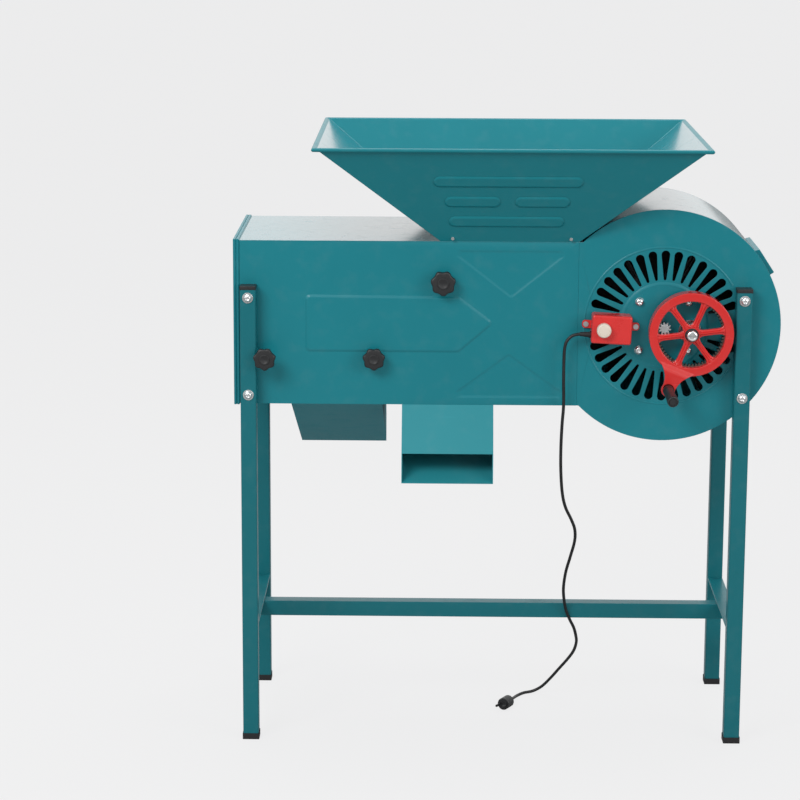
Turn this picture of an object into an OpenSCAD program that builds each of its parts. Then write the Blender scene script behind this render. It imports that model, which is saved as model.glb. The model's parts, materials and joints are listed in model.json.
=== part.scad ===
// Grain winnowing machine, turned by hand or by a motor.
// A fan in the round drum blows through a sheet-steel box. The hopper feeds grain into the wind, the
// heavy grain drops into the front chute, the light grain into the back chute, and chaff leaves at the
// outlet end. The origin lies on the floor under the middle of the machine's outline, +X runs from the
// outlet end to the drum end, +Y from the crank side to the back, and +Z up.
// Sub-parts are written from the box's own corner: x from the outlet end of the box, y from the outer
// face of the crank-side panel, z from the floor.

/* [Winnowing box] */
// Length of the box, from the outlet end to the seam of the drum
box_length = 636; // [616:2:660]
// Depth of the box over its side panels
box_depth = 340; // [320:2:370]
// Height of the box
box_height = 312; // [300:2:326]
// Height of the lid over the floor
box_top = 970; // [940:5:1010]
// Thickness of the sheet steel
sheet = 1.5; // [1:0.25:2]
// How far the pressed figures stand out of a panel
press_height = 2; // [1:0.5:3]
// Length of the outlet rim
rim_length = 12; // [10:1:18]
// How far the outlet rim's beads stand out
bead_height = 2; // [1:0.5:4]

/* [Hopper] */
// Length of the hopper's mouth, inside its lip
hopper_length = 722; // [680:2:740]
// How far the mouth overhangs the box in front and behind
hopper_overhang = 115; // [90:1:130]
// Height of the hopper
hopper_height = 186; // [160:2:210]
// Length of the hopper's throat
throat_length = 260; // [230:2:280]
// Thickness of a hopper wall, measured level
hopper_wall = 2; // [1.5:0.25:3]
// How far the folded lip stands out of the mouth
lip_width = 5; // [4:0.5:8]
// Height of the folded lip
lip_height = 12; // [8:1:16]

/* [Fan drum] */
// Radius of the drum
drum_r = 220; // [210:1:224]
// Distance of the drum's centre from the seam
drum_reach = 161; // [150:1:170]
// Height of the drum's centre over the underside of the box
drum_rise = 154; // [148:1:160]
// Radius of the pressed disc in the middle of each drum plate
disc_r = 79; // [78:1:82]
// How far that disc stands out
disc_height = 1.2; // [1:0.1:1.4]
// Number of air slots in each of the two fans of slots
slot_count = 15; // [11:1:16]
// Radius to the wide outer ends of the slots
slot_outer = 143; // [136:1:148]
// Radius to the narrow inner ends of the slots
slot_inner = 87; // [85:1:92]
// Width of a slot at its outer end
slot_width = 16; // [12:0.5:17]
// Radius of the fan's blades
blade_tip = 176; // [150:1:180]
// Number of blades
blade_count = 6; // [4:1:8]

/* [Crank drive] */
// Module of the gears
gear_module = 2; // [1.9:0.05:2.05]
// Teeth of the ring gear in the crank wheel
ring_teeth = 60; // [60]
// Teeth of the pinion on the fan shaft
pinion_teeth = 10; // [10]
// Radius of the fan shaft
shaft_r = 7; // [5:0.5:7]
// Outer radius of the crank wheel
wheel_r = 79; // [76:0.5:84]
// Radius of the wheel's open middle
wheel_open_r = 62.8; // [61:0.2:64]
// Distance of the grip from the wheel's axis
crank_throw = 112; // [106:1:120]
// Length of the grip
grip_length = 110; // [90:2:130]
// Radius of the grip
grip_r = 10.5; // [9:0.5:13]
// Radius of the axle stud that the wheel turns on
stud_r = 8; // [6:0.5:9]
// Running clearance of every shaft in its hole
run_gap = 0.08; // [0.04:0.01:0.1]

/* [Flaps] */
// Radius of the shafts of the three flaps
flap_shaft_r = 5; // [4:0.5:6]
// Length of the feed gate from its shaft
feed_flap = 60; // [50:1:62]
// Length of the divider flap from its shaft
divider_flap_length = 85; // [60:1:90]
// Length of the tail flap from its shaft
tail_flap_length = 60; // [40:1:64]
// Radius of the star knob on the feed gate
feed_knob_r = 24; // [20:0.5:26]
// Radius of the star knobs on the other two flaps
knob_r = 21.5; // [18:0.5:24]

/* [Chutes] */
// Width of each chute
chute_width = 173; // [150:1:176]
// How far the chutes' lips stand out past the box
chute_reach = 50; // [40:1:60]
// Drop of the front chute's lip below the box
front_drop = 142; // [130:1:150]
// Drop of the back chute's lip below the box
back_drop = 158; // [140:1:162]
// Height of a chute's mouth
mouth_height = 57; // [48:1:64]

/* [Stand] */
// Width of the square tube of the legs
leg_width = 30; // [25:1:32]
// Height of the legs without their plugs
leg_height = 880; // [860:5:900]
// Wall of the leg tube
leg_wall = 1.5; // [1:0.25:2.5]
// Distance between the left and the right legs, over their centres
leg_spacing = 928; // [900:2:950]
// Height of the top of the side rails over the floor
rail_top = 228; // [180:2:300]
// Thickness of the angle iron of the side rails
angle_wall = 3; // [2:0.5:5]
// Height of the rubber foot under a leg
foot_height = 12; // [8:1:20]

/* [Switch box and cord] */
// Length of the switch box
switch_length = 72; // [66:1:80]
// Height of the switch box
switch_height = 53; // [48:1:60]
// Depth of the switch box
switch_depth = 40; // [32:1:50]
// Radius of the speed knob
dial_r = 13.7; // [11:0.1:15]
// Diameter of the mains cord
cord_d = 6; // [5:0.5:7]

/* [Hidden] */
$fn = 64;

// Places of the main forms
box_bottom = box_top - box_height;
drum_x = box_length + drum_reach;
drum_z = box_bottom + drum_rise;
mid_depth = box_depth / 2;

// The hatch on the drum, as angles round the drum's axis and radii from it
hatch_high = 37;
hatch_low = 20;
hatch_high_r = drum_r + 11;
hatch_low_r = drum_r + 19;
hatch_depth = 180;

// The crank's axis lies beside the fan's, by the centre distance of the gears
crank_tilt = 10.5;
gear_distance = gear_module * (ring_teeth - pinion_teeth) / 2;
crank_x = drum_x + gear_distance * cos(crank_tilt);
crank_z = drum_z - gear_distance * sin(crank_tilt);
mesh_angle = 180 - crank_tilt;
pressure_angle = 25;
backlash = 0.2;
ring_tip = gear_module * (ring_teeth / 2 - 0.75);
ring_root = gear_module * (ring_teeth / 2 + 1.25);
ring_outer = ring_root + 5.5;
pinion_tip = gear_module * (pinion_teeth / 2 + 1);
pinion_root = ring_tip - gear_distance - 0.3;
crank_angle = 248;

// Layers of the crank drive in front of the drum plate, as distances from the box's face
plate_face = disc_height;
stud_base = plate_face + 5;
wheel_back = 14;
gear_front = 28;
spoke_back = 30;
spoke_front = 38;
rib_front = 41;
hub_front = 46;
stud_end = 62;

// Legs
leg_left_x = 2 + leg_width / 2;
leg_right_x = leg_left_x + leg_spacing;
leg_xs = [leg_left_x, leg_right_x];
leg_bolt_zs = [box_bottom + 22, box_bottom + 207];
leg_bolt_r = 4;
bolt_slack = 0.2;
head_r = 7.5;
sleeve_length = leg_left_x - head_r - 2;
plug_height = 7;
foot_flare = 1;
bar_width = leg_width;
bar_top = rail_top - angle_wall;

// Flap shafts, measured on the panel
feed_x = 382.4;
feed_z = box_top - 76.5;
feed_rest = -29.5;
divider_x = 253;
divider_z = box_bottom + 90.5;
tail_x = 48.7;
tail_z = box_bottom + 93;
knob_stand = 12;
tail_knob_stand = leg_width + 3;
knob_depth = 15;
knob_sink = 10;

// Hopper: plan rectangles at a height, as [x0, y0, x1, y1]
hopper_mid = 506.5;
throat_x0 = hopper_mid - throat_length / 2;
throat_x1 = hopper_mid + throat_length / 2;
mouth_x0 = hopper_mid - hopper_length / 2;
mouth_x1 = hopper_mid + hopper_length / 2;
hopper_top = box_top + hopper_height;

// Inner boards
floor_high_z = box_top - sheet;
floor_low_x = 441;
floor_low_z = box_top - 108;
chute_gap = 37;
front_chute_x = 306;
back_chute_x = front_chute_x - chute_gap - chute_width;

// Switch box on the drum plate
switch_x = 697.5;
switch_z = box_bottom + 152.5;
switch_tilt = 2.9;
switch_stand = plate_face + 0.3;
ear_reach = 47;
ear_z = 3;
dial_x = -15;
dial_z = 0;
relief_z = -14;
relief_length = 22;
relief_out = 20;

// The crank's arm passes in front of the switch box and the leg's bolts
arm_back = switch_stand + switch_depth + 1.5;
arm_front = arm_back + 7;
wheel_front = arm_back + 1;
grip_back = arm_front + 0.5;
grip_front = grip_back + grip_length;

// The outline of the machine, whose middle is the frame's origin
outline_x0 = -rim_length;
outline_x1 = drum_x + hatch_low_r * cos(hatch_low);
outline_y0 = -grip_front;
outline_y1 = box_depth + hopper_overhang + lip_width;
mid_x = (outline_x0 + outline_x1) / 2;
mid_y = (outline_y0 + outline_y1) / 2;

// The cord's route from the relief to the plug
cord_route = [
  [625, -21.5, 796], [615, -22, 786], [611, -22, 772], [610, -22, 748], [610, -22, 711], [611, -18, 663],
  [609, -12, 623], [608, -4, 578], [609, 6, 531], [613, 18, 484], [620, 29, 453], [632, 41, 426],
  [640, 52, 403], [641, 66, 376], [634, 87, 338], [627, 106, 303], [624, 126, 266], [626, 139, 238],
  [631, 147, 212], [639, 151, 192], [647, 156, 175], [652, 165, 156], [654, 177, 138], [650, 195, 115],
  [640, 215, 92], [624, 236, 65], [607, 254, 38], [590, 267, 16], [572, 270, 5], [553, 262, 3.4],
  [539, 243, 3.4], [531, 217, 7], [525, 192, 12]
];
plug_turn = 242;
plug_r = 12;
plug_length = 24;
plug_neck = 10;

teal = "#2b7f88";
red = "#d83a34";
zinc = "#c9ccd0";
black = "#26282a";
steel = "#a9acae";

// Plain helpers

module at_origin() {
  translate([-mid_x, -mid_y, 0]) children();
}

// Extrudes a figure drawn in x and z along y, from y0 over a length
module along_y(y0, length) {
  translate([0, y0 + length, 0]) rotate([90, 0, 0]) linear_extrude(length) children();
}

// Extrudes a figure drawn in y and z along x
module along_x(x0, length) {
  translate([x0, 0, 0]) rotate([90, 0, 90]) linear_extrude(length) children();
}

module rod(x, z, y0, length, r) {
  translate([x, y0 + length, z]) rotate([90, 0, 0]) cylinder(r = r, h = length);
}

module block(low, high) {
  translate(low) cube(high - low);
}

// Mirrors a crank-side piece to the back of the machine
module to_back() {
  translate([0, box_depth, 0]) mirror([0, 1, 0]) children();
}

function unit(v) = v / norm(v);

function polar(r, a) = [r * cos(a), r * sin(a)];

// Points of a corner b between a and c, rounded to a radius
function corner(a, b, c, r, n) =
  let (
    u = unit(a - b),
    v = unit(c - b),
    half = acos(u * v) / 2,
    centre = b + unit(u + v) * r / sin(half),
    t1 = b + u * r / tan(half) - centre,
    t2 = b + v * r / tan(half) - centre
  )
  [for (k = [0:n]) centre + r * unit(t1 * (1 - k / n) + t2 * k / n)];

function rounded(points, r, n = 5) =
  let (count = len(points))
  [for (i = [0:count - 1]) each corner(points[(i + count - 1) % count], points[i], points[(i + 1) % count], r, n)];

// Points of a convex figure drawn in by a distance
function drawn_in(points, d) =
  let (count = len(points))
  [for (i = [0:count - 1])
    let (
      u = unit(points[(i + count - 1) % count] - points[i]),
      v = unit(points[(i + 1) % count] - points[i])
    )
    points[i] + d * (u + v) / abs(u[0] * v[1] - u[1] * v[0])];

// A board of sheet steel seen edge on, from p to q, with its thickness to the right of the way
module board(p, q, t) {
  side = unit([q[1] - p[1], p[0] - q[0]]) * t;
  polygon([p, q, q + side, p + side]);
}

// Winnowing box

// The pressed figures on a side panel: a pointed tag and two facing triangles
tag_z = box_bottom + 155;
tag = [[128.5, tag_z - 49], [411, tag_z - 49], [470, tag_z + 2], [411, tag_z + 47], [128.5, tag_z + 49]];
triangle_x = 510;
upper_triangle = [
  [triangle_x - 101, box_top - 22],
  [triangle_x, box_top - 101],
  [triangle_x + 101, box_top - 22]
];
lower_triangle = [
  [triangle_x - 101, box_bottom + 19],
  [triangle_x + 99, box_bottom + 19],
  [triangle_x - 3, box_bottom + 93]
];
press_radius = 7;

module pressed(points, grow) {
  polygon(rounded(drawn_in(points, grow), press_radius - grow));
}

joggle_length = 22;
lap_length = 11;

module side_panel() {
  difference() {
    union() {
      block([0, 0, box_bottom], [box_length - joggle_length, sheet, box_top - sheet]);
      for (figure = [tag, upper_triangle, lower_triangle])
        along_y(-press_height, press_height + sheet) pressed(figure, 0);
      // The end is set in by a sheet, so that the drum plate laps over it
      translate([0, 0, box_bottom + 8]) linear_extrude(box_height - sheet - 20)
        polygon([
          [box_length - joggle_length, 0], [box_length - 4, sheet], [box_length + lap_length - 4, sheet],
          [box_length + lap_length - 4, 2 * sheet], [box_length - 4, 2 * sheet],
          [box_length - joggle_length, sheet]
        ]);
    }
    for (figure = [tag, upper_triangle, lower_triangle])
      along_y(sheet - press_height, press_height + 1) pressed(figure, sheet);
    for (p = [[feed_x, feed_z], [divider_x, divider_z], [tail_x, tail_z]])
      rod(p[0], p[1], -press_height - 1, sheet + press_height + 2, flap_shaft_r + run_gap);
    for (z = leg_bolt_zs)
      rod(leg_left_x, z, -1, sheet + 2, leg_bolt_r + bolt_slack);
  }
}

module front_panel() {
  color(teal) at_origin() side_panel();
}

module back_panel() {
  color(teal) at_origin() to_back() side_panel();
}

lid_end = drum_x - sqrt(pow(drum_r, 2) - pow(box_top - drum_z, 2));

module lid_sheet() {
  color(teal) at_origin()
    difference() {
      block([0, 0, box_top - sheet], [lid_end, box_depth, box_top]);
      block([throat_x0 + hopper_wall, hopper_wall, box_top - 10],
            [throat_x1 - hopper_wall, box_depth - hopper_wall, box_top + 10]);
    }
}

floor_end = drum_x - sqrt(pow(drum_r, 2) - pow(drum_rise, 2));

module floor_sheet() {
  color(teal) at_origin()
    difference() {
      block([0, sheet, box_bottom], [floor_end, box_depth - sheet, box_bottom + sheet]);
      for (x = [front_chute_x, back_chute_x])
        block([x + sheet, 0, box_bottom - 1],
              [x + chute_width - sheet, box_depth, box_bottom + sheet + 1]);
    }
}

// One ring of the outlet rim: x0 to x1, standing out by grow, with walls to the rim's opening
module rim_ring(x0, x1, grow, wall) {
  difference() {
    block([x0, -grow, box_bottom - grow], [x1, box_depth + grow, box_top + grow]);
    block([x0 - 1, wall, box_bottom + wall], [x1 + 1, box_depth - wall, box_top - wall]);
  }
}

module outlet_rim() {
  rim_wall = 2 * sheet;
  color(teal) at_origin() {
    rim_ring(-rim_length, -rim_length * 0.62, bead_height, rim_wall);
    rim_ring(-rim_length * 0.62, -rim_length * 0.5, bead_height - 1, rim_wall);
    rim_ring(-rim_length * 0.5, -rim_length * 0.12, bead_height, rim_wall);
    rim_ring(-rim_length * 0.12, 0, 0, rim_wall);
    // A sleeve inside the box carries the rim and stops short of the leg's nuts
    difference() {
      block([0, sheet, box_bottom + sheet], [sleeve_length, box_depth - sheet, box_top - sheet]);
      block([-1, rim_wall, box_bottom + rim_wall],
            [sleeve_length + 1, box_depth - rim_wall, box_top - rim_wall]);
    }
  }
}

// Hopper

// The plan of the hopper's walls at height z, drawn in by d
function hopper_plan(z, d) =
  let (t = (z - box_top) / hopper_height)
  [
    throat_x0 + (mouth_x0 - throat_x0) * t + d, -hopper_overhang * t + d,
    throat_x1 + (mouth_x1 - throat_x1) * t - d, box_depth + hopper_overhang * t - d
  ];

// A solid between the plans at two heights
module funnel(z0, z1, d) {
  a = hopper_plan(z0, d);
  b = hopper_plan(z1, d);
  polyhedron(
    points = [
      [a[0], a[1], z0], [a[2], a[1], z0], [a[2], a[3], z0], [a[0], a[3], z0],
      [b[0], b[1], z1], [b[2], b[1], z1], [b[2], b[3], z1], [b[0], b[3], z1]
    ],
    faces = [[0, 1, 2, 3], [7, 6, 5, 4], [4, 5, 1, 0], [5, 6, 2, 1], [6, 7, 3, 2], [7, 4, 0, 3]]
  );
}

module mouth_block(z0, z1, grow) {
  block([mouth_x0 - grow, -hopper_overhang - grow, z0],
        [mouth_x1 + grow, box_depth + hopper_overhang + grow, z1]);
}

module hopper_shell() {
  difference() {
    union() {
      funnel(box_top, hopper_top, 0);
      difference() {
        mouth_block(hopper_top - lip_height, hopper_top, lip_width);
        mouth_block(hopper_top - lip_height - 1, hopper_top - sheet, lip_width - sheet);
      }
    }
    funnel(box_top - 1, hopper_top + 1, hopper_wall);
  }
}

// The plan of one wall's share of the hopper: the corners are mitred
function mitre(x0, x1, y, side) =
  let (
    slope = hopper_overhang / (throat_x0 - mouth_x0),
    out = throat_x0 - mouth_x0 + 40,
    in_ = 60
  )
  side == "x"
  ? [[x0 - out, y - out * slope], [x0 + in_, y + in_ * slope],
     [x1 - in_, y + in_ * slope], [x1 + out, y - out * slope]]
  : [[x0 - out, y - out * slope], [x0 + in_, y + in_ * slope],
     [x0 + in_, box_depth - y - in_ * slope], [x0 - out, box_depth - y + out * slope]];

module hopper_wall_cut(plan) {
  intersection() {
    hopper_shell();
    translate([0, 0, box_top - 5]) linear_extrude(hopper_height + 10) polygon(plan);
  }
}

// Pressed bars on the front and back walls, as [x, share of the way up the wall, length]
press_rows = [
  [hopper_mid - 6, 0.65, 267], [hopper_mid - 71, 0.435, 95], [hopper_mid + 58, 0.435, 93],
  [hopper_mid - 7.5, 0.22, 206]
];
bar_r = 8;
wall_lean = atan(hopper_overhang / hopper_height);
wall_run = hopper_height / cos(wall_lean);

// The bars stand on the outer face, which leans out over the crank side
module pressed_bars() {
  for (row = press_rows)
    translate([row[0], 0, box_top]) rotate([90 + wall_lean, 0, 0])
      translate([0, row[1] * wall_run, -0.5]) linear_extrude(press_height + 0.5) {
        square([row[2] - 2 * bar_r, 2 * bar_r], center = true);
        for (x = [-1, 1]) translate([x * (row[2] / 2 - bar_r), 0]) circle(bar_r);
      }
}

rivet_r = 3;
rivet_xs = [throat_x0 + 23, throat_x1 - 16];
rivet_z = box_top + 6;

module rivet_holes() {
  for (x = rivet_xs) rod(x, rivet_z, -20, 40, rivet_r);
}

module long_hopper_wall() {
  difference() {
    union() {
      hopper_wall_cut(mitre(throat_x0, throat_x1, 0, "x"));
      pressed_bars();
    }
    rivet_holes();
  }
}

module hopper_front() {
  color(teal) at_origin() long_hopper_wall();
}

module hopper_back() {
  color(teal) at_origin() to_back() long_hopper_wall();
}

module hopper_left() {
  color(teal) at_origin() hopper_wall_cut(mitre(throat_x0, throat_x1, 0, "y"));
}

module hopper_right() {
  color(teal) at_origin()
    translate([2 * hopper_mid, 0, 0]) mirror([1, 0, 0])
      hopper_wall_cut(mitre(throat_x0, throat_x1, 0, "y"));
}

module hopper_rivets() {
  lean = (rivet_z - box_top) * hopper_overhang / hopper_height;
  color(zinc) at_origin()
    for (x = rivet_xs) {
      rod(x, rivet_z, -lean - 4, hopper_wall + 6, rivet_r);
      to_back() rod(x, rivet_z, -lean - 4, hopper_wall + 6, rivet_r);
    }
}

// Boards inside the box

module feed_wall() {
  color(teal) at_origin()
    block([throat_x0 - sheet + hopper_wall, sheet, feed_z + flap_shaft_r + 1],
          [throat_x0 + hopper_wall, box_depth - sheet, box_top - sheet]);
}

module feed_floor() {
  color(teal) at_origin() along_y(sheet, box_depth - 2 * sheet)
    board([throat_x1 - hopper_wall, floor_high_z], [floor_low_x, floor_low_z], -sheet);
}

// A board from the floor of the box up to just under a flap's shaft
module under_board(foot, pivot) {
  gap = flap_shaft_r + 0.6;
  top = pivot + unit(foot - pivot) * gap;
  along_y(sheet, box_depth - 2 * sheet) board(foot, top, sheet);
}

module divider_board() {
  color(teal) at_origin()
    under_board([front_chute_x - chute_gap / 2, box_bottom + sheet], [divider_x, divider_z]);
}

module tail_board() {
  color(teal) at_origin()
    under_board([back_chute_x - 10, box_bottom + sheet], [tail_x, tail_z]);
}

// Chutes: a floor that slopes right across the box, two cheeks and a cover that leans out over the mouth

module chute(x0, drop) {
  lip = [-chute_reach, box_bottom - drop];
  cover_end = [-chute_reach + 3, box_bottom - drop + mouth_height];
  high = [box_depth - sheet - 1, box_bottom];
  for (x = [x0, x0 + chute_width - sheet])
    along_x(x, sheet) polygon([high, lip, cover_end, [0, box_bottom]]);
  along_x(x0 + sheet, chute_width - 2 * sheet) {
    board(lip, high, -sheet);
    board([0, box_bottom], cover_end, -sheet);
  }
}

module front_chute() {
  color(teal) at_origin() chute(front_chute_x, front_drop);
}

module back_chute() {
  color(teal) at_origin() to_back() chute(back_chute_x, back_drop);
}

// Fan drum

slot_step = 10.36;
slot_inner_r = 2.5;

module air_slot() {
  r = slot_width / 2;
  near = slot_inner + slot_inner_r;
  far = slot_outer - r;
  polygon([[near, -slot_inner_r], [far, -r], [far, r], [near, slot_inner_r]]);
  translate([near, 0]) circle(slot_inner_r);
  translate([far, 0]) circle(r);
}

module air_slots() {
  half = slot_step * (slot_count - 1) / 2;
  for (middle = [89.5, 269.5])
    for (k = [0:slot_count - 1])
      rotate(middle - half + k * slot_step) air_slot();
}

motor_bolt_step = 46;

module drum_plate() {
  difference() {
    union() {
      along_y(0, sheet)
        difference() {
          union() {
            translate([drum_x, drum_z]) circle(drum_r);
            translate([box_length, box_bottom]) square([drum_reach, box_height - sheet]);
          }
          translate([box_length - drum_r, box_bottom - drum_r]) square([drum_r, box_height + 2 * drum_r]);
          translate([drum_x, drum_z]) air_slots();
        }
      rod(drum_x, drum_z, -disc_height, disc_height + sheet, disc_r);
    }
    rod(drum_x, drum_z, sheet - disc_height, disc_height + 1, disc_r - sheet);
    rod(drum_x, drum_z, -disc_height - 1, sheet + 2, shaft_r + 2);
    for (z = leg_bolt_zs)
      rod(leg_right_x, z, -1, sheet + 2, leg_bolt_r + bolt_slack);
    children();
  }
}

module motor_bolt_places(step) {
  for (x = [-step, step])
    for (z = [-step, step])
      translate([drum_x + x, 0, drum_z + z]) children();
}

module drum_front_plate() {
  color(teal) at_origin() drum_plate() {
    motor_bolt_places(motor_bolt_step) rod(0, 0, -5, 10, leg_bolt_r + bolt_slack);
  }
}

bearing_step = 28;

module drum_back_plate() {
  color(teal) at_origin() to_back() drum_plate() {
    motor_bolt_places(bearing_step) rod(0, 0, -5, 10, leg_bolt_r + bolt_slack);
  }
}

module drum_wrap() {
  color(teal) at_origin()
    difference() {
      rod(drum_x, drum_z, sheet, box_depth - 2 * sheet, drum_r);
      rod(drum_x, drum_z, 0, box_depth, drum_r - sheet);
      block([drum_x - drum_r - 1, 0, drum_z], [lid_end, box_depth, drum_z + drum_r]);
      block([drum_x - drum_r - 1, 0, drum_z - drum_r], [floor_end, box_depth, drum_z + 1]);
    }
}

module drum_hatch() {
  outer = [
    polar(drum_r, hatch_high + 0.4), polar(hatch_high_r, hatch_high),
    polar(hatch_low_r, hatch_low), polar(drum_r, hatch_low - 0.4)
  ];
  inner = [
    polar(drum_r - 8, hatch_high), polar(hatch_high_r - sheet, hatch_high - 0.5),
    polar(hatch_low_r - sheet, hatch_low + 0.5), polar(drum_r - 8, hatch_low)
  ];
  y0 = mid_depth - hatch_depth / 2;
  color(teal) at_origin()
    difference() {
      translate([drum_x, 0, drum_z]) along_y(y0, hatch_depth) polygon(outer);
      translate([drum_x, 0, drum_z]) along_y(y0 + sheet, hatch_depth - 2 * sheet) polygon(inner);
      rod(drum_x, drum_z, 0, box_depth, drum_r);
    }
}

// Stand

module leg(x, back) {
  y0 = back ? box_depth : -leg_width;
  half = leg_width / 2;
  difference() {
    block([x - half, y0, foot_height / 2], [x + half, y0 + leg_width, leg_height]);
    block([x - half + leg_wall, y0 + leg_wall, 0],
          [x + half - leg_wall, y0 + leg_width - leg_wall, leg_height + 1]);
    for (z = leg_bolt_zs)
      rod(x, z, y0 - 1, leg_width + 2, leg_bolt_r + bolt_slack);
  }
}

module leg_front_left() {
  color(teal) at_origin() leg(leg_left_x, false);
}

module leg_front_right() {
  color(teal) at_origin() leg(leg_right_x, false);
}

module leg_back_left() {
  color(teal) at_origin() leg(leg_left_x, true);
}

module leg_back_right() {
  color(teal) at_origin() leg(leg_right_x, true);
}

// Puts a piece at each leg, drawn about the leg's middle
module at_legs() {
  for (x = leg_xs)
    for (y = [-leg_width / 2, box_depth + leg_width / 2])
      translate([x, y, 0]) children();
}

module centred(width, z0, z1) {
  translate([-width / 2, -width / 2, z0]) cube([width, width, z1 - z0]);
}

module leg_plugs() {
  bore = leg_width - 2 * leg_wall;
  color(black) at_origin() at_legs() {
    centred(leg_width, leg_height, leg_height + plug_height);
    centred(bore, leg_height - 6, leg_height);
  }
}

module leg_feet() {
  bore = leg_width - 2 * leg_wall;
  color(black) at_origin() at_legs() {
    difference() {
      centred(leg_width + 2 * foot_flare, 0, foot_height);
      centred(leg_width, foot_height / 2, foot_height + 1);
    }
    centred(bore, foot_height / 2, foot_height + 10);
  }
}

// An angle iron between a front and a back leg: a level top flange and an upright outer flange
module side_rail(x, outward) {
  half = leg_width / 2;
  web = outward > 0 ? x + half - angle_wall : x - half;
  block([x - half, 0, rail_top - angle_wall], [x + half, box_depth, rail_top]);
  difference() {
    block([web, 0, rail_top - leg_width], [web + angle_wall, box_depth, rail_top - angle_wall]);
    translate([web - 1, mid_depth, bar_top - bar_width / 2]) rotate([0, 90, 0])
      cylinder(r = leg_bolt_r, h = angle_wall + 2);
  }
}

module side_rail_left() {
  color(teal) at_origin() side_rail(leg_left_x, -1);
}

module side_rail_right() {
  color(teal) at_origin() side_rail(leg_right_x, 1);
}

bar_x0 = leg_left_x - leg_width / 2 + angle_wall;
bar_x1 = leg_right_x + leg_width / 2 - angle_wall;

module long_bar() {
  color(teal) at_origin()
    difference() {
      block([bar_x0, mid_depth - bar_width / 2, bar_top - bar_width],
            [bar_x1, mid_depth + bar_width / 2, bar_top]);
      block([bar_x0 + 4, mid_depth - bar_width / 2 + leg_wall, bar_top - bar_width + leg_wall],
            [bar_x1 - 4, mid_depth + bar_width / 2 - leg_wall, bar_top - leg_wall]);
      for (x = [bar_x0 - 1, bar_x1 - 5])
        translate([x, mid_depth, bar_top - bar_width / 2]) rotate([0, 90, 0])
          cylinder(r = leg_bolt_r, h = 6);
    }
}

// Fasteners

head_height = 5.3;
washer_height = 1.6;
washer_r = 10;
nut_height = 6.5;

// A hexagon bolt along +y with its washer, whose bearing face is at y = 0
module hex_bolt(shank, washer) {
  rod(0, 0, -washer_height, washer_height, washer);
  translate([0, -washer_height, 0]) rotate([90, 0, 0]) cylinder(r = head_r, h = head_height, $fn = 6);
  rod(0, 0, 0, shank, leg_bolt_r);
}

module at_leg_bolts() {
  for (x = leg_xs)
    for (z = leg_bolt_zs) {
      translate([x, 0, z]) children();
      to_back() translate([x, 0, z]) children();
    }
}

module leg_bolts() {
  color(zinc) at_origin() at_leg_bolts()
    translate([0, -leg_width, 0]) hex_bolt(leg_width + sheet + nut_height + 1, washer_r);
}

module leg_nuts() {
  color(zinc) at_origin() at_leg_bolts()
    difference() {
      translate([0, sheet + nut_height, 0]) rotate([90, 0, 0]) cylinder(r = head_r, h = nut_height, $fn = 6);
      rod(0, 0, 0, 20, leg_bolt_r);
    }
}

module rail_bolts() {
  z = bar_top - bar_width / 2;
  color(zinc) at_origin() {
    translate([bar_x0 - angle_wall, mid_depth, z]) rotate(-90) hex_bolt(angle_wall + 4, washer_r);
    translate([bar_x1 + angle_wall, mid_depth, z]) rotate(90) hex_bolt(angle_wall + 4, washer_r);
  }
}

// Motor and bearing

motor_seat = sheet - disc_height;
motor_flange_r = 75;
motor_r = 58;
motor_end = 100;
motor_flange = 6;

module motor() {
  color(black) at_origin()
    difference() {
      union() {
        rod(drum_x, drum_z, motor_seat, motor_flange, motor_flange_r);
        rod(drum_x, drum_z, motor_seat, motor_end - motor_seat, motor_r);
        for (a = [0:30:359])
          translate([drum_x, 0, drum_z]) rotate([0, a, 0])
            block([motor_r - 1, motor_flange, -1.5], [motor_r + 4, motor_end - 14, 1.5]);
      }
      rod(drum_x, drum_z, -1, motor_end + 2, shaft_r + run_gap);
      motor_bolt_places(motor_bolt_step) rod(0, 0, -1, motor_flange + 3, leg_bolt_r);
    }
}

module motor_bolts() {
  color(zinc) at_origin() motor_bolt_places(motor_bolt_step)
    translate([0, -plate_face, 0]) hex_bolt(plate_face + motor_seat + motor_flange - 0.5, head_r + 0.5);
}

bearing_plate = 12;
bearing_boss = 28;

module back_bearing() {
  color(steel) at_origin() to_back()
    difference() {
      union() {
        translate([drum_x - 40, -plate_face - bearing_plate, drum_z - 40]) cube([80, bearing_plate, 80]);
        rod(drum_x, drum_z, -plate_face - bearing_boss, bearing_boss, 24);
      }
      rod(drum_x, drum_z, -plate_face - bearing_boss - 1, bearing_boss + 2, shaft_r + run_gap);
      motor_bolt_places(bearing_step) rod(0, 0, -40, 60, leg_bolt_r);
    }
}

module bearing_bolts() {
  reach = bearing_plate + sheet;
  color(zinc) at_origin() to_back() motor_bolt_places(bearing_step) {
    translate([0, -plate_face - bearing_plate, 0]) hex_bolt(reach + 7, head_r + 0.5);
    translate([0, motor_seat + 6, 0]) rotate([90, 0, 0]) cylinder(r = head_r, h = 6, $fn = 6);
  }
}

// Crank drive

function involute(a) = tan(a) * 180 / PI - a;

// Half the angle of a tooth of an outer gear at radius r, wider by a play
function half_tooth(r, teeth, play) =
  let (base = gear_module * teeth / 2 * cos(pressure_angle))
  90 / teeth + play + involute(pressure_angle) - involute(acos(min(1, base / r)));

// Half of the backlash, as an angle at the pitch circle
function play_angle(teeth) = backlash / 4 / (gear_module * teeth / 2) * 180 / PI;

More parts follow.
